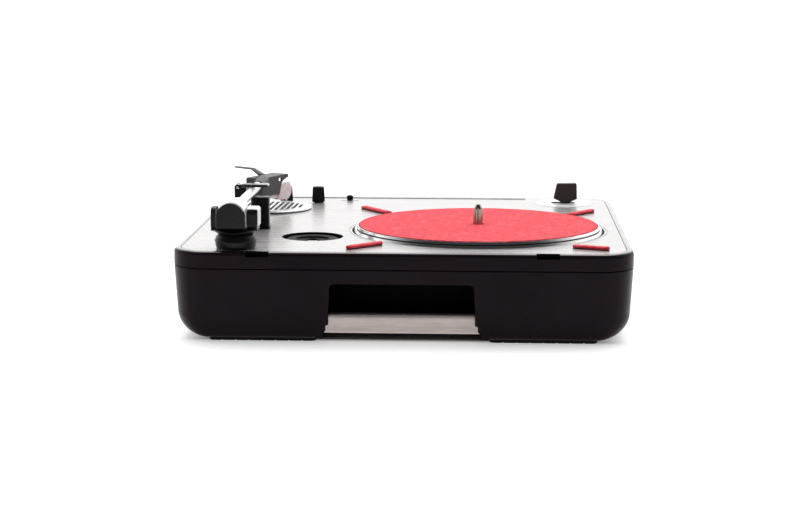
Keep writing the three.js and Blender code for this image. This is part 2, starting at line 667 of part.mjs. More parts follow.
function tonearmYoke() {
  const [y0, y1] = CHEEKS.y;
  const bowl = turned(ARM.x, ARM.y, [
    [0, 71 + GAP], [11.6, 71 + GAP], [12.6, 71.8], [15.2, 73.4], [15.6, 74.2], [15.2, 74.9],
    [0, 74.9],
  ], 24);
  // the bowl's rear slopes away to leave room for the arm's tail
  const slope = carriedAlongX(outline([
    [ARM.y - 20, 72.7], [ARM.y - 17.3, 72.8], [ARM.y - 8.5, 74.95], [ARM.y - 8.5, 80],
    [ARM.y - 20, 80],
  ]), ARM.x - 20, ARM.x + 20);
  const floor = block([CHEEKS.left[0], ARM.y - 6, 73.5], [CHEEKS.right[1], y1, 75.6]);
  const rounded = (x0, x1, top) => {
    const shape = new THREE.Shape();
    const r = 4;
    shape.moveTo(y0, 76.2);
    shape.lineTo(y0 + 3, 73.5);
    shape.lineTo(y1, 73.5);
    shape.absarc(y1 - r, top - r, r, 0, Math.PI / 2);
    shape.absarc(y0 + r, top - r, r, Math.PI / 2, Math.PI);
    return carriedAlongX(shape, x0, x1, 3);
  };
  let yoke = join(bowl.subtract(slope), floor, rounded(...CHEEKS.left, CHEEK_TOP.left),
    rounded(...CHEEKS.right, CHEEK_TOP.right));
  yoke = cut(
    yoke,
    rod(ARM.x, ARM.y, 60, 80, 2.5 + GAP, 12),
    lyingRod('x', -127.6, -99.4, ARM.y, ARM.pivotZ, 1.3 + GAP, 10),
  );
  place('tonearm_yoke', yoke, blackPlastic);
  const [x0, x1] = CHEEKS.right;
  place('yoke_cover', carriedAlongY(coverOutline(x0, x1), y0 + 0.6, y1 - 0.4, 3), silverPlastic);
  place('lift_axle', lyingRod('x', -127.2, -99.8, ARM.y, ARM.pivotZ, 1.3, 10), steel);
}

// bent silver cover over the top and the outer side of the right cheek
function coverOutline(x0, x1) {
  const shell = new THREE.Shape();
  const r = 2;
  const inside = { top: CHEEK_TOP.right + GAP, side: x1 + GAP };
  const outside = { top: inside.top + 0.9, side: inside.side + 0.9 };
  shell.moveTo(x0, inside.top);
  shell.lineTo(inside.side, inside.top);
  shell.lineTo(inside.side, 76.6);
  shell.lineTo(outside.side, 76.6);
  shell.absarc(outside.side - r, outside.top - r, r, 0, Math.PI / 2);
  shell.lineTo(x0, outside.top);
  return shell;
}

function archOutline(half, bottom, centre) {
  const shape = new THREE.Shape();
  shape.moveTo(HOUSING_X - half + 2.6, bottom);
  shape.lineTo(HOUSING_X + half - 2.6, bottom);
  shape.lineTo(HOUSING_X + half, bottom + 2.8);
  shape.absarc(HOUSING_X, centre, half, 0, Math.PI);
  shape.lineTo(HOUSING_X - half, bottom + 2.8);
  return shape;
}

function tonearm() {
  const half = 9.45;
  const centre = 84.15;
  const bottom = 76.7;
  const [back, join0, front] = [-149.5, -144.4, -111];
  const section = archOutline(half, bottom, centre);
  const side = outline([
    [join0 + GAP, bottom], [ARM.y - 11, bottom], [ARM.y - 10, 77.3], [ARM.y + 4, 77.3],
    [front, 83.2], [front, 92.8], [ARM.y - 2, 93.6], [join0 + GAP, 93.6],
  ]);
  const plan = outline([
    [HOUSING_X - half, join0 + GAP], [HOUSING_X + half, join0 + GAP],
    [HOUSING_X + half, ARM.y + 6], [ARM.x + 5, front], [ARM.x - 5, front],
    [HOUSING_X - half, ARM.y + 6],
  ]);
  let housing = carriedAlongY(section, -160, -90, 6)
    .intersect(carriedAlongX(side, -140, -90))
    .intersect(raised(plan, 60, 110));
  housing = cut(
    housing,
    lyingRod('y', ARM.y + 6, -90, ARM.x, ARM.tubeZ, ARM.tubeRadius + GAP, 16),
    lyingRod('x', -130, -90, ARM.y, ARM.pivotZ, 1.3 + GAP, 10),
  );
  place('arm_housing', housing, silverPlastic);
  const cap = carriedAlongY(section, back + 0.8, join0, 6)
    .add(carriedAlongY(archOutline(half - 0.7, bottom + 0.7, centre), back, join0 - 1, 6));
  place('arm_tail_cap', cap, blackPlastic);
  const tube = lyingRod('y', ARM.y + 6.5, 14, ARM.x, ARM.tubeZ, ARM.tubeRadius, 16)
    .subtract(lyingRod('y', -140, 40, ARM.x, ARM.tubeZ, ARM.tubeRadius - 0.8, 12));
  place('arm_tube', tube, silverPlastic);
  headshell();
}

// the headshell's own frame: +Y along it, the rear edge at 0, turned towards the platter
function headshellFrame() {
  const frame = new THREE.Group();
  frame.position.set(HEADSHELL.x, HEADSHELL.y, 0);
  frame.rotation.z = THREE.MathUtils.degToRad(HEADSHELL.turn);
  recordPlayer.add(frame);
  return frame;
}

function headshell() {
  const frame = headshellFrame();
  const { width, length, top } = HEADSHELL;
  const half = width / 2;
  const bottom = 75.5;
  const side = outline([
    [0, bottom], [27, bottom], [30.5, 84.5], [length, 88.6], [length, top], [0, top],
  ]);
  const inside = outline([
    [1.6, bottom - 5], [60, bottom - 5], [60, 86.8], [34, 86.8], [30, top - 1.6], [1.6, top - 1.6],
  ]);
  let shell = carriedAlongX(side, -half, half).subtract(carriedAlongX(inside, 1.6 - half, half - 1.6));
  // the collar is modelled straight along the tube, so it is turned back in this frame
  const turnBack = -HEADSHELL.turn;
  const local = new THREE.Vector2(ARM.x - HEADSHELL.x, -HEADSHELL.y)
    .rotateAround(new THREE.Vector2(0, 0), THREE.MathUtils.degToRad(turnBack));
  const collarBody = lyingRod('y', -6, 30, 0, ARM.tubeZ - 0.5, 4.4, 16);
  const bore = lyingRod('y', -10, 16, 0, ARM.tubeZ, ARM.tubeRadius + GAP, 16);
  const inFrame = (body) => body.rotate([0, 0, turnBack]).translate([local.x, local.y, 0]);
  const clear = carriedAlongX(inside, 1.6 - half, half - 1.6);
  shell = shell.add(inFrame(collarBody).subtract(clear)).subtract(inFrame(bore));
  shell = shell.subtract(block([-half - 3, 23.8, 85], [half + 3, 29.2, 87.7]));
  place('headshell', shell, blackPlastic, frame);
  const lift = outline([
    [-0.8, top + GAP], [-0.8, top + GAP + 1.1], [-1.8, top + GAP + 1.4], [-9.9, 95.5],
    [-26.2, 96], [-26.2, 94.9], [-10.9, 94.2], [-4.8, top + GAP],
  ]);
  place('finger_lift', carriedAlongY(lift, 13, 17), steel, frame);
  const cartridge = carriedAlongX(outline([
    [12, 78], [30, 78], [30, 82], [31.5, 82], [31.5, 85.6], [28, 87.6], [12, 87.6],
  ]), -4.8, 4.8);
  place('cartridge', cartridge, blackPlastic, frame);
  const holder = carriedAlongX(outline([
    [31, 72.5], [34, 69.8], [43, 69.6], [47, 73], [48, 78], [45.5, 82.3], [40, 83.4], [33, 80.8],
    [31.9, 77.7],
  ]), -3.6, 3.6);
  const needle = carriedAlongX(outline([
    [38, 70.6], [45.4, 68.6], [45.6, 67.7], [46, 67.7], [46.4, 69.2], [40, 71],
  ]), -0.5, 0.5);
  const clip = block([-2.4, 18, 72.2], [2.4, 33.5, 75]);
  place('stylus', join(holder, needle, clip), pinkPlastic, frame);
}

function armrest() {
  const { x, y } = REST;
  const shelf = 84.4;
  const [yNear, yFar] = [y - 5, y + 5];
  const [left, right] = [-124.6, -99.9];
  const post = join(
    rod(x, y, 56, DECK + 1, 3, 10),
    raised(roundedRect(7.2, 5.4, 2, -106.5, y), DECK + GAP, DECK + 1.6, 2),
    raised(roundedRect(6.55, 5, 2, right - 6.55, y), DECK + 1, shelf - 1, 2),
    block([left, yNear, 82.9], [right, yFar, shelf]),
    block([left, yNear, 82.9], [-116.1, yFar, 91.1]),
  );
  const hingeRoom = block([left - 1, yNear + 1.8, 88.7], [-119.7, yFar - 1.8, 95]);
  const ears = [[yNear, yNear + 1.8], [yFar - 1.8, yFar]].map(([a, b]) => (
    lyingRod('y', a, b, CLIP_PIN.x, CLIP_PIN.z, 2.2, 14)));
  const pinHole = lyingRod('y', yNear - 1, yFar + 1, CLIP_PIN.x, CLIP_PIN.z, CLIP_PIN.radius + GAP, 10);
  place('armrest', cut(join(post.subtract(hingeRoom), ...ears), pinHole), blackPlastic);
  const pin = lyingRod('y', yNear + 0.2, yFar - 0.2, CLIP_PIN.x, CLIP_PIN.z, CLIP_PIN.radius, 10);
  place('clip_pin', pin, steel);
  const [k0, k1] = [yNear + 2.2, yFar - 2.2];
  const bar = outline([
    [CLIP_PIN.x + 3, 91.55], [-101.6, 91.55], [-100.6, 91.9], [-100.2, 92.7], [-100.9, 93.4],
    [CLIP_PIN.x + 3, 93.4],
  ]);
  const neck = outline([
    [CLIP_PIN.x, 91.4], [CLIP_PIN.x + 4, 91.55], [CLIP_PIN.x + 4, 93.4], [CLIP_PIN.x, 93.2],
  ]);
  const clip = join(
    carriedAlongY(bar, yNear, yFar),
    carriedAlongY(neck, k0, k1),
    lyingRod('y', k0, k1, CLIP_PIN.x, CLIP_PIN.z, 2, 14),
  );
  place('armrest_clip', clip.subtract(pinHole), blackPlastic);
}

// ---- controls -----------------------------------------------------------------------------

function knob(name, [x, y]) {
  let body = turned(x, y, [
    [3 + GAP, DECK + 0.6], [5, DECK + 0.6], [4.5, DECK + 12.2], [3.9, DECK + 12.8],
    [0, DECK + 12.8], [0, DECK + 8], [3 + GAP, DECK + 8], [3 + GAP, DECK + 0.6],
  ], 18);
  body = body.subtract(block([x - 0.5, y - 6, DECK + 12.2], [x + 0.5, y - 1.5, DECK + 15]));
  place(name, body, blackPlastic);
}

function speedKnob() {
  const { x, y } = SPEED;
  const stem = block([x - 1.6, y - 0.8, 56], [x + 1.6, y + 0.8, DECK + 0.6]);
  const cap = turned(x, y, [
    [0, DECK], [2.6, DECK], [2.6, DECK + 2.4], [1.9, DECK + 3.6], [0, DECK + 4.1],
  ], 14);
  place('speed_knob', stem.add(cap), blackPlastic);
}

function scratchSwitch() {
  const { x, y, radius, leverX, leverY } = SCRATCH;
  const slot = block([leverX - 9, leverY - 5, 50], [leverX + 9, leverY + 5, 70]);
  const bezel = turned(x, y, [
    [0, DECK - 1.4], [radius - 3.6, DECK - 1.4], [radius - 3.6, DECK - 4], [radius - 2.4, DECK - 4],
    [radius - 2.4, DECK + GAP], [radius, DECK + GAP], [radius - 0.3, DECK + 1],
    [radius - 1.2, DECK + 1.3], [0, DECK + 1.3],
  ], 28);
  place('scratch_bezel', bezel.subtract(slot), silverPlastic);
  const under = DECK - 4 - GAP;
  const body = block([leverX - 12, leverY - 9, 42.5], [leverX + 12, leverY + 9, under])
    .subtract(block([leverX - 9, leverY - 5, 44], [leverX + 9, leverY + 5, 70]));
  place('scratch_switch', body, blackPlastic);
  const frame = new THREE.Group();
  frame.position.set(leverX, leverY, SCRATCH.pivot);
  frame.rotation.y = THREE.MathUtils.degToRad(SCRATCH.lean);
  recordPlayer.add(frame);
  const profile = outline([
    [-2.2, -6.4], [2.2, -6.4], [2.9, 5], [3.1, 11.6], [9.4, 14], [9.3, 15], [7, 27], [6.3, 27.7],
    [-6.3, 27.7], [-7, 27], [-9.3, 15], [-9.4, 14], [-3.1, 11.6], [-2.9, 5],
  ]);
  place('scratch_lever', carriedAlongY(profile, -4, 4), blackPlastic, frame);
}

lowerCase();
upperCase();
feet();
caseScrews();
handleGrip();
batteryCompartment();
connectors();
deckPlate();
recordPads();
adaptorWell();
speaker();
electronics();
platterTray();
drive();
platterAndMat();
tonearmBase();
tonearmYoke();
tonearm();
armrest();
knob('volume_knob', KNOBS.volume);
knob('tone_knob', KNOBS.tone);
speedKnob();
scratchSwitch();

export default recordPlayer;
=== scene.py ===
import math
import random

import bmesh
import bpy
from mathutils import Matrix, Vector


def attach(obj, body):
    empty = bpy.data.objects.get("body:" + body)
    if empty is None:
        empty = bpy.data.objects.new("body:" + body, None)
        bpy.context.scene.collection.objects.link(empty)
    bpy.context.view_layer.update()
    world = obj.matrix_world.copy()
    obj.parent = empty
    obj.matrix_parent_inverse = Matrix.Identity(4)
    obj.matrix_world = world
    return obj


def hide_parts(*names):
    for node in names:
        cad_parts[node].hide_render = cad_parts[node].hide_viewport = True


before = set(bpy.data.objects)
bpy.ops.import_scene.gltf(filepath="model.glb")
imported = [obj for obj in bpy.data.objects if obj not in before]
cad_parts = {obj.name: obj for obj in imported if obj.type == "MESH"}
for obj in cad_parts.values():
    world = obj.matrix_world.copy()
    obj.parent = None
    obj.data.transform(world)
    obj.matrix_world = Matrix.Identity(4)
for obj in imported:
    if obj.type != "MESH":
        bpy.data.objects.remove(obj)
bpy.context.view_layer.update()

# Lengths are in millimetres until a piece is finished, and then the piece is scaled to metres.
# Sizes inside materials, lights and the camera are in metres.
MM = 0.001
TAU = 2 * math.pi

# ---- dimensions shared with the CAD part ----

HALF_WIDTH, HALF_DEPTH, CORNER = 155.0, 150.0, 25.0
FOOT_HEIGHT, SEAM, DECK = 2.4, 49.6, 61.3
GAP = 0.35
RIM = 5.0
FOOT_X, FOOT_Y = {"left": -94.0, "right": 94.7}, {"near": -136.0, "far": 136.0}
SCREW_X, SCREW_Y = {"left": -138.0, "right": 138.0}, {"near": -133.0, "far": 133.0}
PLATTER = (50.0, -38.0)
ARM = (-112.4, -131.0)
HOUSING_X = -113.75
REST = (-106.0, -39.0)
ADAPTOR = (-65.5, -77.0)
SPEAKER = (-112.6, 68.6)
SPEED = (-53.5, 122.8)
SCRATCH = (117.0, 113.0)
LEVER = (116.2, 107.0, 51.0)
LEVER_LEAN = math.radians(8)
SHELL_ORIGIN = (-119.1, 27.6)
SHELL_TURN = math.radians(-26)
KNOBS = {"volume": (-103.0, 109.0), "tone": (-77.5, 107.0)}
PADS = {
    "near_left": ((-37.5, -135.0), (-15.0, -112.0)),
    "near_right": ((138.6, -130.0), (114.0, -120.0)),
    "far_left": ((-40.0, 72.0), (-17.0, 38.0)),
    "far_right": ((137.5, 61.5), (117.0, 35.0)),
}
LID_SOCKETS = (-96.3, 96.9)


def from_deck(profile):
    """A profile whose heights are counted from the top of the deck."""
    return [(r, DECK + z) for r, z in profile]


# ---- outlines ----


def fillet(points, radii, steps=6):
    """A closed outline whose corners are rounded; radii is one number or one per corner."""
    if isinstance(radii, (int, float)):
        radii = [radii] * len(points)
    out = []
    count = len(points)
    for i, (p, r) in enumerate(zip(points, radii)):
        p = Vector(p)
        a = Vector(points[i - 1]) - p
        b = Vector(points[(i + 1) % count]) - p
        if r <= 0:
            out.append(tuple(p))
            continue
        angle = a.angle(b)
        reach = min(r / math.tan(angle / 2), 0.49 * a.length, 0.49 * b.length)
        r = reach * math.tan(angle / 2)
        start, end = p + a.normalized() * reach, p + b.normalized() * reach
        centre = p + (a.normalized() + b.normalized()).normalized() * (r / math.sin(angle / 2))
        u, v = start - centre, end - centre
        sweep = math.pi - angle
        side = 1 if u.x * v.y - u.y * v.x > 0 else -1
        for k in range(steps + 1):
            t = side * sweep * k / steps
            c, s = math.cos(t), math.sin(t)
            out.append((centre.x + u.x * c - u.y * s, centre.y + u.x * s + u.y * c))
    return out


def rect(x0, y0, x1, y1, radius=0.0, steps=6):
    return fillet([(x0, y0), (x1, y0), (x1, y1), (x0, y1)], radius, steps)


def rect_about(x, y, half_x, half_y, radius=0.0, steps=6):
    return rect(x - half_x, y - half_y, x + half_x, y + half_y, radius, steps)


def corner_rect(half_w, half_d, rx, ry, steps):
    """A rectangle with elliptical corners, the same number of points whatever its size."""
    out = []
    for sx, sy, start in ((1, 1, 0), (-1, 1, 1), (-1, -1, 2), (1, -1, 3)):
        for k in range(steps + 1):
            t = (start + k / steps) * TAU / 4
            out.append((sx * (half_w - rx) + rx * math.cos(t), sy * (half_d - ry) + ry * math.sin(t)))
    return out


def arc(cx, cy, radius, start, end, steps):
    """Points of an arc, angles in degrees."""
    turns = [math.radians(start + (end - start) * k / steps) for k in range(steps + 1)]
    return [(cx + radius * math.cos(t), cy + radius * math.sin(t)) for t in turns]


# ---- meshes ----


def put(name, data):
    """A new object in the scene."""
    obj = bpy.data.objects.new(name, data)
    bpy.context.scene.collection.objects.link(obj)
    return obj


def make(name, bm):
    bmesh.ops.remove_doubles(bm, verts=bm.verts, dist=1e-5)
    bmesh.ops.recalc_face_normals(bm, faces=bm.faces)
    mesh = bpy.data.meshes.new(name)
    bm.to_mesh(mesh)
    bm.free()
    return put(name, mesh)


def rings(name, loops, closed=False):
    """A skin through a stack of equal loops, capped at both ends, or joined up if closed."""
    bm = bmesh.new()
    rows = [[bm.verts.new(p) for p in loop] for loop in loops]
    if closed:
        rows.append(rows[0])
    for low, high in zip(rows, rows[1:]):
        for i in range(len(low)):
            j = (i + 1) % len(low)
            bm.faces.new((low[i], low[j], high[j], high[i]))
    if not closed:
        bm.faces.new(rows[0][::-1])
        bm.faces.new(rows[-1])
    return make(name, bm)


def lathe(name, profile, centre=(0, 0), sides=96, wobble=None):
    """A turned piece: profile of (radius, height), ending on the axis or closed on itself."""
    bm = bmesh.new()
    rows = []
    for r, z in profile:
        if r < 1e-6:
            rows.append([bm.verts.new((centre[0], centre[1], z))])
            continue
        row = []
        for k in range(sides):
            t = TAU * k / sides
            q = r + (wobble(t, r, z) if wobble else 0)
            row.append(bm.verts.new((centre[0] + q * math.cos(t), centre[1] + q * math.sin(t), z)))
        rows.append(row)
    if len(rows[0]) > 1 or len(rows[-1]) > 1:
        rows.append(rows[0])
    for low, high in zip(rows, rows[1:]):
        if len(low) == 1 and len(high) == 1:
            continue
        for k in range(sides):
            m = (k + 1) % sides
            quad = [low[k % len(low)], low[m % len(low)], high[m % len(high)], high[k % len(high)]]
            bm.faces.new(list(dict.fromkeys(quad)))
    return make(name, bm)


def prism(name, outline, axis, start, end):
    """An outline carried along an axis: in XY for z, in XZ for y, in YZ for x."""
    place = {
        "z": lambda p, t: (p[0], p[1], t),
        "y": lambda p, t: (p[0], t, p[1]),
        "x": lambda p, t: (t, p[0], p[1]),
    }[axis]
    bm = bmesh.new()
    low = [bm.verts.new(place(p, start)) for p in outline]
    high = [bm.verts.new(place(p, end)) for p in outline]
    bm.faces.new(low[::-1])
    bm.faces.new(high)
    for i in range(len(low)):
        j = (i + 1) % len(low)
        bm.faces.new((low[i], low[j], high[j], high[i]))
    return make(name, bm)


def block(name, low, high):
    return prism(name, rect(low[0], low[1], high[0], high[1]), "z", low[2], high[2])


def rod(name, x, y, bottom, top, radius, sides=64):
    return lathe(name, [(0, bottom), (radius, bottom), (radius, top), (0, top)], (x, y), sides)


def lying(name, axis, start, end, across, z, radius, sides=48):
    """A round bar along x or y."""
    outline = [(across + radius * math.cos(TAU * k / sides), z + radius * math.sin(TAU * k / sides))
               for k in range(sides)]
    return prism(name, outline, axis, start, end)


def apply(obj):
    """Replaces the object's mesh by what its modifiers make of it."""
    graph = bpy.context.evaluated_depsgraph_get()
    mesh = bpy.data.meshes.new_from_object(obj.evaluated_get(graph))
    obj.modifiers.clear()
    old = obj.data
    obj.data = mesh
    bpy.data.meshes.remove(old)


def combine(obj, operation, tools):
    for tool in tools:
        modifier = obj.modifiers.new("combine", "BOOLEAN")
        modifier.operation = operation
        modifier.solver = "EXACT"
        modifier.object = tool
        apply(obj)
        mesh = tool.data
        bpy.data.objects.remove(tool)
        bpy.data.meshes.remove(mesh)


def cut(obj, *tools):
    combine(obj, "DIFFERENCE", tools)


def join(obj, *tools):
    combine(obj, "UNION", tools)


def soften(obj, width, segments=2, angle=32):
    """Rounds every edge sharper than the angle."""
    bm = bmesh.new()
    bm.from_mesh(obj.data)
    bmesh.ops.remove_doubles(bm, verts=bm.verts, dist=0.004)
    bmesh.ops.dissolve_limit(
        bm, angle_limit=math.radians(0.6), verts=bm.verts, edges=bm.edges, delimit={"SHARP"})
    bm.to_mesh(obj.data)
    bm.free()
    modifier = obj.modifiers.new("soften", "BEVEL")
    modifier.width = width
    modifier.segments = segments
    modifier.limit_method = "ANGLE"
    modifier.angle_limit = math.radians(angle)
    modifier.use_clamp_overlap = True
    apply(obj)


def shade(obj, angle=38):
    """Smooth shading up to an angle, with the normals of large flat faces kept flat."""
    for polygon in obj.data.polygons:
        polygon.use_smooth = True
    obj.data.set_sharp_from_angle(angle=math.radians(angle))
    modifier = obj.modifiers.new("flat_faces", "WEIGHTED_NORMAL")
    modifier.weight = 100
    modifier.keep_sharp = True
    apply(obj)


def mount(obj, materials, replaces, pick=None, body="base_body", slot=None, angle=38):
    """Scales a piece to metres and hangs it on its body."""
    shade(obj, angle)
    materials = materials if isinstance(materials, list) else [materials]
    slot = slot or materials[0].name.partition(".")[0]
    obj.data.materials.clear()
    for m in materials:
        obj.data.materials.append(m)
    if pick:
        for polygon in obj.data.polygons:
            polygon.material_index = pick(polygon.center, polygon.normal)
    obj.data.transform(Matrix.Scale(MM, 4))
    obj.data.update()
    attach(obj, body)
    if replaces:
        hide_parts(*replaces)


# ---- materials ----


class Shader:
    """A node material being built, with short names for the nodes it uses."""

    def __init__(self, name, color=(0.5, 0.5, 0.5), roughness=0.5, **sockets):
        self.material = bpy.data.materials.new(name)
        self.material.use_nodes = True
        self.tree = self.material.node_tree
        self.shader = self.tree.nodes["Principled BSDF"]
        self.shader.inputs["Base Color"].default_value = (*color, 1)
        self.shader.inputs["Roughness"].default_value = roughness
        for key, value in sockets.items():
            self.shader.inputs[key.replace("_", " ")].default_value = value
        self.place = self.node("ShaderNodeTexCoord").outputs["Object"]

    def node(self, kind, inputs=(), **settings):
        made = self.tree.nodes.new(kind)
        for key, value in settings.items():
            setattr(made, key, value)
        for key, value in dict(inputs).items():
            if isinstance(value, bpy.types.NodeSocket):
                self.tree.links.new(value, made.inputs[key])
            else:
                made.inputs[key].default_value = value
        return made

    def scaled(self, stretch=(1, 1, 1), turn=0.0):
        mapping = self.node("ShaderNodeMapping", {
            "Vector": self.place, "Scale": stretch, "Rotation": (0, 0, turn)})
        return mapping.outputs["Vector"]

    def noise(self, size, detail, rough, stretch=(1, 1, 1), turn=0.0, distortion=0.0):
        """Noise whose grains are about size metres across."""
        made = self.node("ShaderNodeTexNoise", {
            "Vector": self.scaled(stretch, turn), "Scale": 1 / size, "Detail": detail,
            "Roughness": rough, "Distortion": distortion})
        return made.outputs["Fac"]

    def cells(self, size, feature="F1"):
        """Distance within cells that are about size metres across."""
        made = self.node("ShaderNodeTexVoronoi", {
            "Vector": self.scaled(), "Scale": 1 / size}, feature=feature)
        return made.outputs["Distance"]

    def span(self, value, low, high, to_low, to_high):
        """The value carried from the range low to high onto the range to_low to to_high."""
        made = self.node("ShaderNodeMapRange", {
            "Value": value, "From Min": low, "From Max": high, "To Min": to_low, "To Max": to_high})
        return made.outputs["Result"]

    def math(self, operation, a, b):
        return self.node("ShaderNodeMath", {0: a, 1: b}, operation=operation).outputs[0]

    def mix(self, share, a, b):
        """One color over another; 6, 7 and 2 are the Mix node's color sockets."""
        a, b = (v if isinstance(v, bpy.types.NodeSocket) else (*v, 1) for v in (a, b))
        return self.node("ShaderNodeMix", {0: share, 6: a, 7: b}, data_type="RGBA").outputs[2]

    def bump(self, height, distance, strength=1.0):
        made = self.node("ShaderNodeBump", {
            "Height": height, "Distance": distance, "Strength": strength})
        return made.outputs["Normal"]

    def edges(self, radius):
        """How much a point stands on an outer edge, from 0 to 1, from the shape itself."""
        bevel = self.node("ShaderNodeBevel", {"Radius": radius}, samples=4)
        flat = self.node("ShaderNodeNewGeometry").outputs["Normal"]
        dot = self.node("ShaderNodeVectorMath", {0: bevel.outputs[0], 1: flat},
                        operation="DOT_PRODUCT").outputs["Value"]
        return self.span(dot, 0.995, 0.9, 0, 1)

    def use(self, **links):
        for key, value in links.items():
            self.tree.links.new(value, self.shader.inputs[key.replace("_", " ")])
        return self.material


def tinted(color, factor):
    """The color times one number, or times one number per channel, and no brighter than white."""
    factors = factor if isinstance(factor, tuple) else (factor,) * 3
    return tuple(min(1, c * f) for c, f in zip(color, factors))


def lifted(color, amount):
    return tuple(min(1, c + amount) for c in color)


WARM_CAST, NEUTRAL_CAST = (1.6875, 1.485, 1.5525), (1.485, 1.485, 1.5525)


def moulded(name, color, roughness, grain, depth, gloss, coat=0.0, cast=WARM_CAST):
    """Moulded plastic with a fine spark-eroded grain, faint smears and a painted highlight along its
    edges.
    """
    s = Shader(name, color, roughness, IOR=1.48, Specular_IOR_Level=gloss,
               Coat_Weight=coat, Coat_Roughness=0.08)
    fine = s.noise(grain, 4, 0.6)
    cloud = s.noise(0.045, 3, 0.5)
    smear = s.noise(0.03, 4, 0.6, stretch=(0.35, 1, 1), turn=0.5)
    tone = s.mix(cloud, tinted(color, 0.8), lifted(tinted(color, cast), 0.001))
    dust = s.span(s.noise(0.0011, 2, 0.7), 0.69, 0.78, 0, 0.05)
    tone = s.mix(dust, tone, (0.16, 0.155, 0.15))
    # Lighter colour along the edges: a painted highlight where rounded edges catch the light.
    edge_highlight = s.math("MULTIPLY", s.edges(0.0006), 0.35)
    tone = s.mix(edge_highlight, tone, lifted(tinted(color, 2), 0.012))
    rough = s.span(smear, 0.3, 0.7, roughness - 0.07, roughness + 0.09)
    return s.use(Base_Color=tone, Roughness=rough, Normal=s.bump(fine, depth))


def brushed(name, color, roughness, metallic):
    """Silver finish with long fine lines along X."""
    along = (0.02, 1, 1)
    s = Shader(name, color, roughness, Metallic=metallic, IOR=1.5)
    lines = s.noise(0.00035, 2, 0.7, stretch=along)
    wide = s.noise(0.0022, 2, 0.6, stretch=along)
    cloud = s.noise(0.06, 3, 0.5)
    tone = s.mix(s.span(lines, 0.25, 0.75, 0, 1), tinted(color, 0.9), tinted(color, 1.06))
    tone = s.mix(s.span(wide, 0.35, 0.7, 0, 0.5), tone, tinted(color, 0.93))
    tone = s.mix(s.span(cloud, 0.4, 0.8, 0, 0.3), tone, tinted(color, 0.9))
    speck = s.span(s.cells(0.004), 0.02, 0.035, 0.25, 0)
    tone = s.mix(speck, tone, tinted(color, 0.55))
    rough = s.span(wide, 0.3, 0.7, roughness - 0.06, roughness + 0.08)
    return s.use(Base_Color=tone, Roughness=rough, Normal=s.bump(lines, 0.00002, 0.6))


def felt(name, color):
    """Pressed felt: short fibres lying every way, lighter flecks, a soft sheen."""
    s = Shader(name, color, 0.92, IOR=1.4, Sheen_Weight=0.25, Sheen_Roughness=0.45,
               Sheen_Tint=(1.0, 0.55, 0.55, 1))
    fibres_a = s.noise(0.0006, 3, 0.7, stretch=(1, 0.16, 1), turn=0.6, distortion=0.6)
    fibres_b = s.noise(0.0006, 3, 0.7, stretch=(1, 0.16, 1), turn=-0.7, distortion=0.6)
    fibres_c = s.noise(0.0008, 3, 0.7, stretch=(0.2, 1, 1), turn=0.1, distortion=0.8)
    tangle = s.math("MAXIMUM", s.math("MAXIMUM", fibres_a, fibres_b), fibres_c)
    cloud = s.noise(0.006, 4, 0.65)
    clumps = s.noise(0.0042, 4, 0.8, stretch=(1, 0.4, 1), turn=0.35, distortion=0.7)
    large = s.noise(0.03, 3, 0.5)
    dark = tinted(color, (0.72, 0.6, 0.6))
    light = lifted(tinted(color, (1.12, 1.75, 1.75)), 0.015)
    pale, fluff = (0.97, 0.15, 0.19), (0.95, 0.42, 0.42)
    tone = s.mix(s.span(tangle, 0.45, 0.78, 0, 1), dark, light)
    tone = s.mix(s.span(cloud, 0.35, 0.7, 0, 0.45), tone, color)
    tone = s.mix(s.span(large, 0.3, 0.75, 0, 0.2), tone, dark)
    tone = s.mix(s.span(clumps, 0.52, 0.64, 0, 0.7), tone, dark)
    tone = s.mix(s.span(clumps, 0.46, 0.36, 0, 0.8), tone, pale)
    fleck = s.span(s.noise(0.0014, 2, 0.8, stretch=(1, 0.35, 1), turn=1.0), 0.7, 0.8, 0, 0.55)
    tone = s.mix(fleck, tone, fluff)
    height = s.math("ADD", s.math("MULTIPLY", tangle, 0.7), s.math("MULTIPLY", cloud, 0.5))
    return s.use(Base_Color=tone, Normal=s.bump(height, 0.0004, 0.8))


def metal(name, color, roughness, stretch=(1, 1, 1)):
    """Bare metal with fine tool marks, which stretch draws out into lines."""
    s = Shader(name, color, roughness, Metallic=1.0)
    fine = s.noise(0.0002, 3, 0.6, stretch=stretch)
    cloud = s.noise(0.008, 3, 0.5)
    tone = s.mix(cloud, tinted(color, 0.85), tinted(color, 1.1))
    rough = s.span(fine, 0.2, 0.8, roughness - 0.07, roughness + 0.1)
    return s.use(Base_Color=tone, Roughness=rough, Normal=s.bump(fine, 0.000006))


def satin(name, color, roughness, metallic=0.0, depth=0.00001):
    """Painted or moulded silver, white and coloured plastic."""
    s = Shader(name, color, roughness, Metallic=metallic, IOR=1.48)
    fine = s.noise(0.0004, 3, 0.6)
    cloud = s.noise(0.02, 3, 0.55)
    tone = s.mix(cloud, tinted(color, 0.94), tinted(color, 1.06))
    # Darkens the colour along the edges.
    edge_dark = s.math("MULTIPLY", s.edges(0.0005), 0.2)
    tone = s.mix(edge_dark, tone, tinted(color, 0.7))
    rough = s.span(fine, 0.25, 0.75, roughness - 0.05, roughness + 0.07)
    return s.use(Base_Color=tone, Roughness=rough, Normal=s.bump(fine, depth))


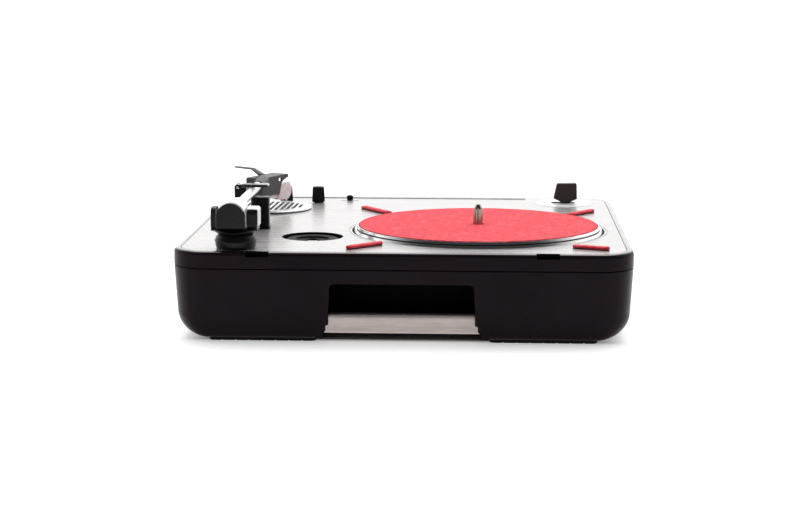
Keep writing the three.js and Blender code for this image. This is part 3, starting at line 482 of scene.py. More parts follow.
def handle_finish():
    """Grey handle: satin, with soft streaks along its length and browner blotches that are painted
    reflections.
    """
    color, reflection_brown = (0.72, 0.635, 0.605), (0.56, 0.49, 0.44)
    s = Shader("handle_grey", color, 0.36, Metallic=0.15, IOR=1.5)
    streak = s.noise(0.006, 4, 0.6, stretch=(0.16, 1, 1.3), distortion=0.8)
    cloud = s.noise(0.016, 4, 0.6, stretch=(0.5, 1, 1))
    tone = s.mix(s.span(streak, 0.3, 0.7, 0, 1), tinted(color, 0.84), tinted(color, 1.12))
    # Browner blotches from the cloud noise: painted reflections.
    tone = s.mix(s.span(cloud, 0.45, 0.75, 0, 0.6), tone, reflection_brown)
    rough = s.span(cloud, 0.3, 0.7, 0.28, 0.46)
    height = s.math("ADD", streak, s.math("MULTIPLY", s.noise(0.0004, 3, 0.6), 0.15))
    return s.use(Base_Color=tone, Roughness=rough, Normal=s.bump(height, 0.00012, 0.7))


def rubber_finish():
    """Dull black rubber with a little dust."""
    s = Shader("black_rubber", (0.006, 0.006, 0.0063), 0.7, Specular_IOR_Level=0.2)
    fine = s.noise(0.0005, 4, 0.7)
    dust = s.span(s.noise(0.004, 4, 0.7), 0.5, 0.8, 0, 0.12)
    tone = s.mix(dust, (0.0055, 0.0055, 0.006), (0.05, 0.047, 0.044))
    return s.use(Base_Color=tone, Normal=s.bump(fine, 0.00008))


def stylus_finish():
    """Translucent pink stylus holder."""
    s = Shader("stylus_pink", (0.92, 0.66, 0.69), 0.3, IOR=1.46, Subsurface_Weight=0.6,
               Subsurface_Radius=(1.0, 0.45, 0.45), Subsurface_Scale=0.0025, Coat_Weight=0.4)
    cloud = s.noise(0.004, 3, 0.6)
    tone = s.mix(s.span(cloud, 0.35, 0.65, 0, 1), (0.90, 0.82, 0.82), (0.86, 0.66, 0.69))
    return s.use(Base_Color=tone, Normal=s.bump(s.noise(0.0012, 3, 0.5), 0.00006))


def paper_finish():
    """Pressed paper of a loudspeaker cone."""
    s = Shader("paper_cone", (0.02, 0.02, 0.02), 0.85)
    fibres = s.noise(0.0009, 4, 0.75, distortion=1.0)
    tone = s.mix(fibres, (0.012, 0.012, 0.012), (0.035, 0.034, 0.033))
    return s.use(Base_Color=tone, Normal=s.bump(fibres, 0.0002))


def board_finish():
    """Green circuit board with paler tracks."""
    s = Shader("board_green", (0.02, 0.09, 0.045), 0.45)
    tracks = s.span(s.cells(0.005, "DISTANCE_TO_EDGE"), 0.03, 0.06, 1, 0)
    tone = s.mix(tracks, (0.012, 0.07, 0.035), (0.03, 0.14, 0.06))
    return s.use(Base_Color=tone, Normal=s.bump(tracks, 0.00005))


CASE = moulded("case_black", (0.0085, 0.0048, 0.0068), 0.30, 0.0006, 0.00004, gloss=0.07)
BLACK = moulded("black_plastic", (0.0050, 0.0050, 0.0056), 0.30, 0.0005, 0.00002, gloss=0.2,
                cast=NEUTRAL_CAST)
DARK_GREY = moulded("shell_grey", (0.075, 0.073, 0.075), 0.40, 0.0004, 0.00002, gloss=0.14,
                    cast=NEUTRAL_CAST)
# A darker, duller black for the insides of the hand pocket, lid sockets, grille slots, the adaptor well
# and the faces under the tail cap: painted shade.
SHADE_BLACK = moulded("painted_shade_black", (0.0012, 0.0012, 0.0013), 0.6, 0.0006, 0.00003, gloss=0.04)
RIM_GLOSS = moulded("rim_gloss", (0.0052, 0.0038, 0.0046), 0.14, 0.0006, 0.00001, gloss=0.5, coat=0.6)
PADDLE = moulded("paddle_black", (0.046, 0.040, 0.041), 0.34, 0.0005, 0.00002, gloss=0.4)
PUCK = moulded("puck_black", (0.0040, 0.0040, 0.0044), 0.45, 0.0006, 0.00002, gloss=0.06)
DECK_SILVER = brushed("silver_deck", (0.53, 0.517, 0.515), 0.26, 0.6)
RING_SILVER = satin("platter_silver", (0.80, 0.80, 0.80), 0.17, 1.0, depth=0.000002)
SILVER = satin("silver_plastic", (0.80, 0.80, 0.81), 0.30, 0.35)
TUBE = metal("arm_metal", (0.88, 0.88, 0.89), 0.3, stretch=(1, 0.05, 1))
HANDLE = handle_finish()
FELT = felt("red_felt", (0.94, 0.045, 0.070))
RUBBER = rubber_finish()
STEEL = metal("steel", (0.58, 0.58, 0.59), 0.3)
DARK_STEEL = metal("dark_steel", (0.12, 0.12, 0.125), 0.35)
CHROME = metal("chrome", (0.40, 0.37, 0.30), 0.14)
BRASS = metal("brass", (0.62, 0.45, 0.2), 0.3)
PINK = stylus_finish()
PAPER = paper_finish()
BOARD = board_finish()
WHITE = satin("white_plastic", (0.85, 0.85, 0.84), 0.3)
RED = satin("red_plastic", (0.5, 0.03, 0.04), 0.3)


# ---- case ----

SIDE_EDGE, END_EDGE, DRAFT = 17.0, 5.0, 2.0
CORNER_STEPS = 20
NEAR = -HALF_DEPTH
POCKET_DEPTH = 32.0


def half_at(z, half, radius):
    """Half the width of the drafted, round-bottomed case at one height."""
    foot = half - DRAFT
    if z < FOOT_HEIGHT + radius:
        drop = FOOT_HEIGHT + radius - z
        return foot - radius + math.sqrt(max(radius ** 2 - drop ** 2, 0))
    return foot + DRAFT * (z - FOOT_HEIGHT - radius) / (SEAM - FOOT_HEIGHT - radius)


def case_loop(z, inset=0.0, level=None):
    w, d = half_at(z, HALF_WIDTH, SIDE_EDGE), half_at(z, HALF_DEPTH, END_EDGE)
    rx, ry = w - (HALF_WIDTH - CORNER), d - (HALF_DEPTH - CORNER)
    outline = corner_rect(w - inset, d - inset, max(rx - inset, 1), max(ry - inset, 1), CORNER_STEPS)
    return [(x, y, z if level is None else level) for x, y in outline]


def pocket_outline(grow, bottom):
    """The opening for the carrying hand, in X and Z."""
    mouth, lip, foot, neck, roof = 55.6 + grow, 51.2 + grow, 49.2 + grow, 48.3 + grow, 40.2 + grow
    half = [(mouth, bottom), (mouth - 1, FOOT_HEIGHT + 0.6), (lip, 8.5), (lip, 12 + grow),
            (foot, 12.6 + grow), (foot, 19), (neck, 33)]
    radii = [0, 0, 1.5, 0.4, 0.4, 6, 4]
    points = half + [(neck, roof), (-neck, roof)] + [(-x, z) for x, z in reversed(half)]
    return fillet(points, radii + [5 + grow, 5 + grow] + radii[::-1], 8)


def lower_case():
    wall = 2.6
    end_curve = [FOOT_HEIGHT + END_EDGE * (1 - math.cos(TAU / 4 * k / 8)) for k in range(9)]
    side_curve = [FOOT_HEIGHT + END_EDGE + (SIDE_EDGE - END_EDGE) * k / 10 for k in range(1, 11)]
    heights = end_curve + side_curve + [30.0, SEAM - 0.8]
    outer = [case_loop(z) for z in heights]
    outer += [case_loop(SEAM, 0.12, SEAM - 0.3), case_loop(SEAM, 0.5, SEAM)]
    inner = [case_loop(SEAM, wall, SEAM)] + [case_loop(z, wall) for z in (30, 19, 12, 8)]
    inner.append(case_loop(FOOT_HEIGHT + 3.4, wall + 2, FOOT_HEIGHT + wall))
    shell = rings("lower_case_body", outer + inner)
    back = NEAR + POCKET_DEPTH
    pocket = prism("pocket_wall", pocket_outline(wall, FOOT_HEIGHT + 0.5), "y", NEAR + 3.2, back + wall)
    join(shell, pocket)
    tools = [
        prism("pocket", pocket_outline(0, -10), "y", NEAR - 5, back),
        block("grip_seat", (-53.65, -145.35, 8.25), (53.65, -137.75, 17.65)),
        prism("battery_opening", rect(25.15, -4.85, 122.85, 116.85, 3.3), "z", 0, 6),
        block("jack_opening", (-160, -38, 16), (-147, 38, 42)),
    ]
    for x in FOOT_X.values():
        for y in FOOT_Y.values():
            tools.append(prism("foot_seat", rect_about(x, y, 36.3, 6.3, 4.3), "z", 0, FOOT_HEIGHT + 0.8))
    for x in SCREW_X.values():
        for y in SCREW_Y.values():
            tools.append(rod("screw_well", x, y, 0, FOOT_HEIGHT + 3, 3.3, 40))
    cut(shell, *tools)
    soften(shell, 0.45, 2, 35)

    # Faces inside the hand pocket take the painted-shade black.
    def pick(centre, normal):
        deep = NEAR + 1.8 < centre.y < back + 0.2
        return int(abs(centre.x) < 49.5 and deep and FOOT_HEIGHT < centre.z < 40.4)

    mount(shell, [CASE, SHADE_BLACK], ["lower_case"], pick)


def rim_loop(inset, z):
    corner = CORNER - inset
    outline = corner_rect(HALF_WIDTH - inset, HALF_DEPTH - inset, corner, corner, CORNER_STEPS)
    return [(x, y, z) for x, y in outline]


def upper_case():
    bottom = SEAM + GAP
    section = [(0.35, bottom), (0.08, bottom + 0.12), (0, bottom + 0.4), (0, DECK - 3.2)]
    section += [(3 - 3 * math.cos(math.radians(a)), DECK - 3 + 3 * math.sin(math.radians(a)))
                for a in range(6, 91, 7)]
    section += from_deck([(4.55, 0), (4.64, -0.08), (4.65, -0.3), (4.65, -2.35), (8, -2.35), (8, -4.35),
                          (5.65, -4.35)])
    section += [(5.65, SEAM - 4), (3.45, SEAM - 4), (3.45, bottom)]
    ring = rings("upper_case_rim", [rim_loop(i, z) for i, z in section], closed=True)
    for x in LID_SOCKETS:
        notch = rect(x - 7.6, 57.7, x + 7.6, 70, [0.5, 0.5, 0, 0], 4)
        cut(ring, prism("lid_socket", notch, "y", NEAR - 5, NEAR + 4))
    soften(ring, 0.25, 2, 50)

    # Faces inside the lid sockets take the painted-shade black.
    def pick(centre, normal):
        inside = any(abs(centre.x - x) < 7.7 for x in LID_SOCKETS) and centre.y < NEAR + 4.1
        lip = centre.z > DECK - 1
        return 1 if inside and centre.z > 57.6 else 2 if normal.z > 0.8 and lip else 0

    mount(ring, [CASE, SHADE_BLACK, RIM_GLOSS], ["upper_case"], pick)


def feet():
    for row, y in FOOT_Y.items():
        for side, x in FOOT_X.items():
            outline = rect_about(x, y, 36, 6, 4, 8)
            pad = prism(f"rubber_foot_{row}_{side}", outline, "z", 0, FOOT_HEIGHT + 0.45)
            for k in range(-3, 4):
                cut(pad, prism("groove", rect_about(x + 9 * k, y, 0.4, 7), "z", -1, 0.4))
            soften(pad, 0.35, 2)
            mount(pad, RUBBER, [f"foot_{row}_{side}"])


def case_screws():
    top, end = FOOT_HEIGHT + 2.65, 54.8
    profile = [(0, top - 1.9), (1.4, top - 2.0), (2.3, top - 1.7), (2.75, top - 1.1), (2.8, top),
               (1.5, top), (1.5, end), (0, end)]
    for row, y in SCREW_Y.items():
        for side, x in SCREW_X.items():
            screw = lathe(f"screw_{row}_{side}", profile, (x, y), 40)
            for half_x, half_y in ((1.7, 0.3), (0.3, 1.7)):
                cut(screw, prism("recess", rect_about(x, y, half_x, half_y), "z", top - 3, top - 0.9))
            soften(screw, 0.08, 1)
            mount(screw, DARK_STEEL, [f"case_screw_{row}_{side}"], slot="steel")


def handle_grip():
    front, back, bottom, top = -147.6, -135.6, 6.6, 19.3
    outline = fillet([(front, bottom), (back, bottom), (back, top), (front, top)], [1.8, 4, 4, 2.4], 10)
    bar = prism("grip_bar", outline, "x", -58, 58)
    combine(bar, "INTERSECT", [prism("between", pocket_outline(-GAP, -10), "y", -160, -130)])
    join(bar, block("tenon", (-53.3, -145, 8.6), (53.3, -138.1, 17.3)))
    soften(bar, 0.5, 3, 50)
    mount(bar, HANDLE, ["handle_grip"])


def battery_cover():
    outline = rect(25.5, -4.5, 122.5, 116.5, 3, 8)
    door = prism("battery_cover", outline, "z", FOOT_HEIGHT, FOOT_HEIGHT + 2.6)
    left, right = 62, 86
    grooves = [lying("thumb", "x", left, right, 1.5, FOOT_HEIGHT - 1.2, 2.4)]
    for k in range(6):
        grooves.append(lying("rib", "x", left, right, 8 + 2.2 * k, FOOT_HEIGHT - 0.25, 0.6, 16))
    cut(door, *grooves)
    soften(door, 0.3, 2)
    mount(door, CASE, ["battery_door"])


def connectors():
    face, level = -HALF_WIDTH + 3.2, 29
    panel = prism("connector_panel", rect_about(0, level, 37.65, 12.65, 1.5), "x", face, face + 1.6)
    sockets = {
        "rca_socket_white": (24, 4, WHITE),
        "rca_socket_red": (8, 4, RED),
        "headphone_socket": (-9, 4.6, BLACK),
        "power_inlet": (-26, 5, BLACK),
    }
    for name, (y, radius, material) in sockets.items():
        cut(panel, lying("hole", "x", face - 3, face + 5, y, level, radius + GAP))
        body = lying(name + "_body", "x", face - 1.8, face + 12, y, level, radius)
        cut(body, lying("bore", "x", face - 5, face + 8, y, level, radius * 0.5))
        if name == "power_inlet":
            join(body, lying("contact", "x", face - 0.6, face + 9, y, level, 0.8, 24))
        soften(body, 0.3, 2)
        mount(body, material, [name])
    soften(panel, 0.25, 2)
    mount(panel, BLACK, ["jack_panel"])


# ---- deck ----


def capsule(a, b, radius, steps=10):
    a, b = Vector(a), Vector(b)
    heading = math.degrees(math.atan2(b.y - a.y, b.x - a.x))
    return arc(b.x, b.y, radius, heading - 90, heading + 90, steps) + arc(
        a.x, a.y, radius, heading + 90, heading + 270, steps)


def deck_plate():
    plan = corner_rect(HALF_WIDTH - RIM, HALF_DEPTH - RIM, CORNER - RIM, CORNER - RIM, 16)
    plate = prism("deck_panel", plan, "z", DECK - 2, DECK)
    low, high, step = DECK - 7, DECK + 5, DECK - 0.5
    ledge_left, ledge_right, ledge_far = -105, 87, 139.5
    ledge = [(ledge_left, ledge_far), (ledge_left, 124), (-99, 118), (80, 118)]
    ledge += arc(80, 125, 7, -80, 0, 8) + [(ledge_right, ledge_far)]
    tools = [
        rod("well", *PLATTER, low, high, 90.3, 192),
        lathe("groove", [(91.8, step), (92.4, step), (92.4, high), (91.8, high)], PLATTER, 160),
        rod("adaptor_hole", *ADAPTOR, low, high, 21.5, 96),
        rod("arm_hole", *ARM, low, high, 8.4),
        rod("rest_hole", *REST, low, high, 3.4),
        rod("speaker_hole", *SPEAKER, low, high, 30.0, 96),
        rod("scratch_hole", *SCRATCH, low, high, 20.5),
        prism("speed_slot", rect_about(*SPEED, 7.2, 1.3, 1.2), "z", low, high),
        prism("far_ledge", ledge, "z", step, high),
    ]
    tools += [rod("knob_hole", x, y, low, high, 3.6, 32) for x, y in KNOBS.values()]
    cut(plate, *tools)
    y = ADAPTOR[1]
    join(plate, block("lug", (-67, y - 23, DECK - 0.6), (-60.4, y - 19, DECK)))
    cut(plate, block("lug_line", (-67.2, y - 21.9, DECK - 0.35), (-60.2, y - 21.4, high)))
    soften(plate, 0.16, 2, 50)
    mount(plate, DECK_SILVER, ["deck_plate"])


def lumpy(strip, start, along, length):
    """Cuts a felt strip across at short steps and swells it a little, as felt cut by hand is."""
    steps = 12
    bm = bmesh.new()
    bm.from_mesh(strip.data)
    for step in range(steps + 1):
        at = start + along * (length * step / steps)
        everything = bm.verts[:] + bm.edges[:] + bm.faces[:]
        bmesh.ops.bisect_plane(bm, geom=everything, plane_co=(*at, DECK), plane_no=(*along, 0))
    side = Vector((-along.y, along.x))
    for vertex in bm.verts:
        reach = (vertex.co.xy - start).dot(along)
        swell = math.sin(reach * 0.9 + start.x) + 0.6 * math.sin(reach * 1.7 + start.y)
        across = (vertex.co.xy - start).dot(side)
        vertex.co.xy += side * across * 0.045 * swell
        if vertex.co.z > DECK + 1.5:
            vertex.co.z += 0.13 * math.sin(reach * 1.2 + start.y) - 0.1
    bm.to_mesh(strip.data)
    bm.free()


def record_pads():
    for name, (outer, inner) in PADS.items():
        a, b = Vector(outer), Vector(inner)
        along = (b - a).normalized()
        end = along * 2.9
        a, b = a + end, b - end
        # A thin black backing under the felt, set in so that it shows as a dark line below the strip:
        # painted shadow.
        base = prism(f"pad_shadow_backing_{name}", capsule(a, b, 2.5), "z", DECK + 0.02, DECK + 0.45)
        soften(base, 0.1, 2)
        mount(base, BLACK, ())
        strip = prism(f"felt_strip_{name}", capsule(a, b, 2.75), "z", DECK + 0.45, DECK + 2.5)
        soften(strip, 1.1, 5)
        lumpy(strip, a, along, (b - a).length)
        mount(strip, FELT, [f"record_pad_{name}"])


def adaptor():
    floor = 54.5
    profile = [(0, floor - 1.2), (21.3, floor - 1.2), (21.7, floor - 0.8)]
    profile += from_deck([(21.7, -0.35), (21.45, -0.1), (20.8, -0.1), (20.5, -0.4)])
    profile += [(20.5, floor + 0.6), (19.9, floor), (0, floor)]
    cup = lathe("adaptor_cup", profile, ADAPTOR, 128)
    y = ADAPTOR[1]
    cut(cup, block("relief", (-67.4, y - 30, DECK - 0.95), (-60, y - 10, DECK + 1)))
    # The well is drawn in the painted-shade black.
    mount(cup, SHADE_BLACK, ["adaptor_well"], slot="black_plastic")
    top = DECK - 1.2
    profile = [(3.7, floor + GAP), (18.2, floor + GAP), (18.6, floor + 0.8), (18.6, top - 1.1),
               (18.3, top - 0.4), (17.6, top), (12.3, top), (11.8, top - 0.3), (11, top - 1.4),
               (5.4, top - 1.4), (5.1, top - 0.9), (4.6, top - 0.6), (4.0, top - 0.6), (3.7, top - 0.9)]
    puck = lathe("adaptor_puck", profile, ADAPTOR, 128)
    mount(puck, PUCK, ["adaptor_45"], body="adaptor_body", slot="black_plastic")


def speaker():
    x, y = SPEAKER
    grille = lathe("grille_disc", from_deck([
        (0, 0.6), (28, 0.6), (28, -2), (29.5, -2), (29.5, GAP), (32.6, GAP), (33, 0.7), (33, 1.1),
        (32.7, 1.7), (32.1, 2.08), (31.4, 2.2), (0, 2.2)]), SPEAKER, 128)
    pitch, lean, field = 4.1, 0.04, 26.5
    for i in range(-6, 7):
        centre = pitch * i
        half = math.sqrt(field ** 2 - centre ** 2) * 0.96
        drift, reach = half * lean, half - 1
        slot = capsule((x + centre - drift, y - reach), (x + centre + drift, y + reach), 1.2, 6)
        cut(grille, prism("slot", slot, "z", DECK, DECK + 5))
    soften(grille, 0.18, 2, 50)

    # The grille's underside and the walls of its slots take the painted-shade black.
    def pick(centre, normal):
        return int(centre.z < DECK + 0.75 or normal.z < -0.5)

    mount(grille, [SILVER, SHADE_BLACK], ["speaker_grille"], pick)


# ---- platter ----


def platter():
    disc = lathe("platter_disc", [
        (6.35, 55.2), (10, 55.2), (10, 60.8), (54.3, 60.8), (54.3, 56), (57.3, 56), (57.3, 60.8),
        (88.2, 60.8), (88.85, 60.85), (88.9, 61.0), (88.15, 62.85), (87.1, 62.9), (86.75, 63.0),
        (86.75, 63.55), (87.1, 63.6), (86.45, 65.15), (85.8, 65.2), (85.8, 64.3), (6.35, 64.3)],
        PLATTER, 224)

    def pick(centre, normal):
        """Silver on the rim, apart from the groove between its two steps."""
        reach = (centre.xy - Vector(PLATTER)).length
        groove = 62.92 < centre.z < 63.59 and reach < 87.0
        return int(reach > 85 and centre.z > 60.9 and not groove)

    mount(disc, [BLACK, RING_SILVER], ["platter"], pick, "platter_body", "silver_deck", 20)


def slipmat():
    source = random.Random(7)
    waves = [(source.uniform(0, TAU), n, source.uniform(0.01, 0.05)) for n in (3, 5, 8, 13, 21, 34, 55)]

    def ragged(angle, radius, height):
        if radius < 80:
            return 0
        return sum(a * math.sin(n * angle + phase) for phase, n, a in waves)

    rows = [(4.3, 64.75), (4.3, 65.6), (4.7, 65.8)] + [(r, 65.8) for r in range(8, 84, 4)]
    rows += [(84.6, 65.8), (85.1, 65.65), (85.3, 65.3), (85.2, 64.85), (84.8, 64.6)]
    rows += [(r, 64.6) for r in range(80, 7, -8)] + [(4.6, 64.6)]
    mat = lathe("felt_mat", rows, PLATTER, 256, ragged)
    for vertex in mat.data.vertices:
        x, y, z = vertex.co
        reach = (vertex.co.xy - Vector(PLATTER)).length
        if z > 65.5 and reach > 6:
            swell = math.sin(x * 0.21 + 1.1) * math.sin(y * 0.17 + 0.4)
            swell += 0.5 * math.sin(x * 0.07 - y * 0.11)
            vertex.co.z += 0.035 * swell
    mount(mat, FELT, ["slipmat"], body="slipmat_body", angle=60)


def spindle():
    flutes = 8

    def flute(angle, radius, height):
        if not 66.9 < height < 77.1:
            return 0
        return -0.55 * max(0, math.cos(flutes * angle)) ** 0.6

    profile = [(0, 45), (3.2, 45), (3.2, 65), (3.6, 65.4), (3.6, 66.8)]
    profile += [(3.58 - 0.045 * k, 67 + k) for k in range(0, 10)]
    profile += [(3.1, 76.9), (2.75, 77.6), (1.7, 79.5), (1.2, 79.95), (0, 80)]
    pin = lathe("spindle_pin", profile, PLATTER, 120, flute)
    mount(pin, CHROME, ["spindle"], angle=30)


# ---- tonearm ----

PIVOT_Z, TUBE_Z = 84.0, 88.0
SHAFT_BORE, AXLE_BORE = 2.85, 1.65


def tonearm_base():
    bottom = DECK + GAP
    base = lathe("arm_pedestal", [
        (SHAFT_BORE, 54), (8, 54), (8, bottom), (13.0, bottom), (13.2, bottom + 0.35), (13.5, 63),
        (13.8, 64.4), (13.95, 65.8), (13.98, 66.35), (14.4, 66.55), (14.55, 66.8), (14.4, 67.05),
        (13.95, 67.2), (13.8, 67.8), (13.45, 68.9), (12.9, 69.9), (12.2, 70.6), (11.4, 71),
        (SHAFT_BORE, 71)], ARM, 128)
    mount(base, BLACK, ["tonearm_base"])


def rounded_cheek(name, x0, x1, top):
    near, far, bottom = -138, -122, 73.5
    outline = [(near, 76.2), (-135, bottom), (far, bottom), (far, top), (near, top)]
    return prism(name, fillet(outline, [0.6, 0, 0, 4, 3], 10), "x", x0, x1)


def yoke():
    bowl = lathe("yoke_frame", [
        (0, 71.35), (11.6, 71.35), (12.3, 71.5), (13.4, 72.1), (14.6, 72.9), (15.3, 73.5), (15.6, 74.1),
        (15.5, 74.6), (15.1, 74.9), (0, 74.9)], ARM, 128)
    y = ARM[1]
    slope = [(y - 20, 72.7), (y - 17.3, 72.8), (y - 8.5, 74.95), (y - 8.5, 80), (y - 20, 80)]
    cut(bowl, prism("slope", slope, "x", -140, -80))
    left, right, top = -128.3, -97.3, 87.6
    cheek = -103.9
    join(bowl, block("bridge", (left, y - 6, 73.5), (right, -122, 75.6)),
         rounded_cheek("left_cheek", left, -125, 89), rounded_cheek("right_cheek", cheek, right, top))
    cut(bowl, lying("bore", "x", -127.6, -99.4, y, PIVOT_Z, AXLE_BORE),
        rod("shaft_bore", *ARM, 60, 80, SHAFT_BORE, 48))
    soften(bowl, 0.4, 3, 40)

    # The sloped faces at the front of the yoke, under the tail cap, take the painted-shade black.
    def pick(centre, normal):
        return int(centre.y < y - 8 and 72 < centre.z < 75.2 and normal.z > 0.5)

    mount(bowl, [BLACK, SHADE_BLACK], ["tonearm_yoke"], pick, body="yoke_body")
    inner_top, inner_side = top + GAP, right + GAP
    outer_top, outer_side = inner_top + 0.8, inner_side + 0.5
    cover = fillet([(cheek, inner_top), (inner_side, inner_top), (inner_side, 76.6), (outer_side, 76.6),
                    (outer_side, outer_top), (cheek, outer_top)], [0, 0.8, 0, 0, 1.7, 0], 12)
    plate = prism("yoke_plate", cover, "y", -137.4, -122.4)
    soften(plate, 0.2, 2, 40)
    mount(plate, SILVER, ["yoke_cover"], body="yoke_body")


def arch(half, bottom, centre):
    """The end view of the arm's barrel: half round above, with a square foot."""
    left, right = HOUSING_X - half, HOUSING_X + half
    foot = [(left, bottom + 3), (left, bottom), (right, bottom), (right, bottom + 3)]
    return fillet(foot, [0, 0.6, 0.6, 0], 3) + arc(HOUSING_X, centre, half, 0, 180, 28)


def arm_housing():
    half, centre, bottom, top = 9.45, 84.15, 76.7, 93.65
    x, y = ARM
    tip = -111
    body = prism("rear_housing", arch(half, bottom, centre), "y", -144.05, tip)
    side = [(-150, 76), (y - 11, 76), (y - 10, 77.3), (y + 4, 77.3), (tip, 83.2), (tip, 92.8),
            (y - 2, top), (-150, top)]
    left, right = HOUSING_X - half, HOUSING_X + half
    plan = [(left - 1, -150), (right + 1, -150), (right + 1, y + 3), (right, y + 6), (x + 5, tip),
            (x - 5, tip), (left, y + 6), (left - 1, y + 3)]
    plan = fillet(plan, [0, 0, 4, 6, 2, 2, 6, 4], 8)
    combine(body, "INTERSECT", [prism("side", side, "x", -140, -90), prism("plan", plan, "z", 60, 110)])
    detent = capsule((HOUSING_X - 2, -139.8), (HOUSING_X + 4, -139.8), 1.1)
    cut(body, lying("tube_seat", "y", y + 6, -90, x, TUBE_Z, 3.6),
        lying("axle_bore", "x", -130, -90, y, PIVOT_Z, AXLE_BORE),
        prism("detent", detent, "z", 93.2, 95))
    soften(body, 0.35, 3, 35)
    mount(body, SILVER, ["arm_housing"], body="arm_body")
    cap = prism("tail_cap", arch(half, bottom, centre), "y", -149.5, -144.4)
    soften(cap, 0.9, 4, 45)
    mount(cap, BLACK, ["arm_tail_cap"], body="arm_body")
    tube = lying("tone_tube", "y", y + 6.5, 14, x, TUBE_Z, 3.25, 64)
    cut(tube, lying("tube_bore", "y", -140, 40, x, TUBE_Z, 2.45))
    mount(tube, TUBE, ["arm_tube"], body="arm_body")


def in_shell_frame(obj):
    """The headshell's frame: +Y along it from its rear edge, turned towards the platter."""
    obj.data.transform(Matrix.Translation((*SHELL_ORIGIN, 0)) @ Matrix.Rotation(SHELL_TURN, 4, "Z"))
    return obj


def headshell():
    top, bottom = 89.8, 75.5
    half, length, wall = 7.0, 37.6, 1.6
    side = [(0, bottom), (25, bottom), (28.4, 84.4), (length - 2.5, 86.9), (length, 87.3), (length, top),
            (0, top)]
    shell = prism("head_shell", fillet(side, [1.2, 0.6, 2.5, 1.0, 0.5, 0.5, 1.6], 8), "x", -half, half)
    inside = fillet([(wall, bottom - 5), (60, bottom - 5), (60, 86.8), (34, 86.8), (30, top - wall),
                     (wall, top - wall)], [0, 0, 0, 1, 1, 1], 4)
    cut(shell, prism("inside", inside, "x", wall - half, half - wall))
    sight = capsule((25.4, 86.3), (27.2, 86.3), 1.45)
    cut(shell, prism("sight_slot", sight, "x", -half - 3, half + 3))
    in_shell_frame(shell)
    collar = lying("collar", "y", -6, 30, ARM[0], TUBE_Z - 0.5, 4.4, 64)
    cut(collar, in_shell_frame(prism("cavity", inside, "x", wall - half, half - wall)))
    join(shell, collar)
    cut(shell, lying("collar_bore", "y", -10, 16, ARM[0], TUBE_Z, 3.6, 64))
    soften(shell, 0.4, 3, 38)
    mount(shell, DARK_GREY, ["headshell"], body="arm_body", slot="black_plastic")

    lift_side = fillet([(-0.8, top + GAP), (-0.8, top + 1.45), (-1.8, top + 1.75), (-9.9, 95.5),
                        (-26.2, 96), (-26.2, 94.9), (-10.9, 94.2), (-4.8, top + GAP)],
                       [0, 0.3, 0.6, 1.5, 0.3, 0.3, 1, 1], 5)
    lift = in_shell_frame(prism("finger_rest", lift_side, "y", 13, 17))
    soften(lift, 0.2, 2, 40)
    mount(lift, DARK_STEEL, ["finger_lift"], body="arm_body", slot="steel")

    pickup = fillet([(12, 78), (28.6, 78), (28.6, 82), (29.4, 82), (29.4, 84.4), (23.4, 84.6),
                     (22.8, 87.6), (12, 87.6)], 0.4, 3)
    cartridge = in_shell_frame(prism("pickup_body", pickup, "x", -4.8, 4.8))
    soften(cartridge, 0.3, 2)
    mount(cartridge, BLACK, ["cartridge"], body="arm_body")

    holder = fillet([(29, 72.5), (32.5, 69.8), (43, 69.6), (47, 73), (48, 78), (45.5, 82.3), (40, 83.4),
                     (31.5, 80.8), (29.9, 77.7)], [0.6, 1.2, 2, 2.5, 2.5, 2, 2, 1, 0.3], 5)
    stylus = prism("stylus_holder", holder, "x", -3.6, 3.6)
    needle = [(38, 70.6), (45.4, 68.6), (45.6, 67.7), (46, 67.7), (46.4, 69.2), (40, 71)]
    join(stylus, prism("needle", needle, "x", -0.5, 0.5),
         block("rear_clip", (-2.4, 18, 72.2), (2.4, 32, 75)))
    in_shell_frame(stylus)
    soften(stylus, 0.7, 3, 50)
    mount(stylus, PINK, ["stylus"], body="arm_body")


def armrest():
    y = REST[1]
    shelf = 84.4
    near, far = y - 5, y + 5
    left, right = -124.6, -99.9
    hinge, pin_bore = (-122.4, 91.3), 1.25
    flange = rect(-113.7, y - 5.4, -99.3, y + 5.4, 2.2, 8)
    post = prism("rest_post", flange, "z", DECK + GAP, DECK + 1.6)
    join(post, rod("spigot", *REST, 56, DECK + 1, 3),
         prism("column", rect(-113, near, right, far, 2.2, 8), "z", DECK + 1, shelf - 1),
         prism("shelf", rect(left, near, right, far, [0.8, 2, 2, 0.8]), "z", 82.9, shelf),
         prism("side_block", rect(left, near, -116.1, far, 0.8), "z", 83, 91.1))
    cut(post, block("hinge_room", (left - 1, near + 1.8, 88.7), (-119.7, far - 1.8, 95)))
    for a, b in ((near, near + 1.8), (far - 1.8, far)):
        join(post, lying("ear", "y", a, b, *hinge, 2.2))
    cut(post, lying("pin_hole", "y", near - 1, far + 1, *hinge, pin_bore, 32))
    soften(post, 0.35, 3, 40)
    mount(post, BLACK, ["armrest"])
    pin = lying("hinge_pin", "y", near + 0.2, far - 0.2, *hinge, pin_bore - GAP, 32)
    soften(pin, 0.15, 2)
    mount(pin, STEEL, ["clip_pin"])
    bar = fillet([(-119.4, 91.55), (-101.6, 91.55), (-100.6, 91.9), (-100.2, 92.7), (-100.9, 93.4),
                  (-119.4, 93.4)], [0, 0.3, 0.4, 0.4, 0.4, 0], 4)
    clip = prism("rest_clip", bar, "y", near, far)
    neck = [(-122.4, 91.4), (-118.4, 91.55), (-118.4, 93.4), (-122.4, 93.2)]
    join(clip, prism("neck", neck, "y", near + 2.2, far - 2.2),
         lying("barrel", "y", near + 2.2, far - 2.2, *hinge, 2.0))
    cut(clip, lying("pin_hole", "y", near - 1, far + 1, *hinge, pin_bore, 32))
    soften(clip, 0.35, 3, 40)
    mount(clip, RIM_GLOSS, ["armrest_clip"], body="clip_body", slot="black_plastic")


# ---- controls ----


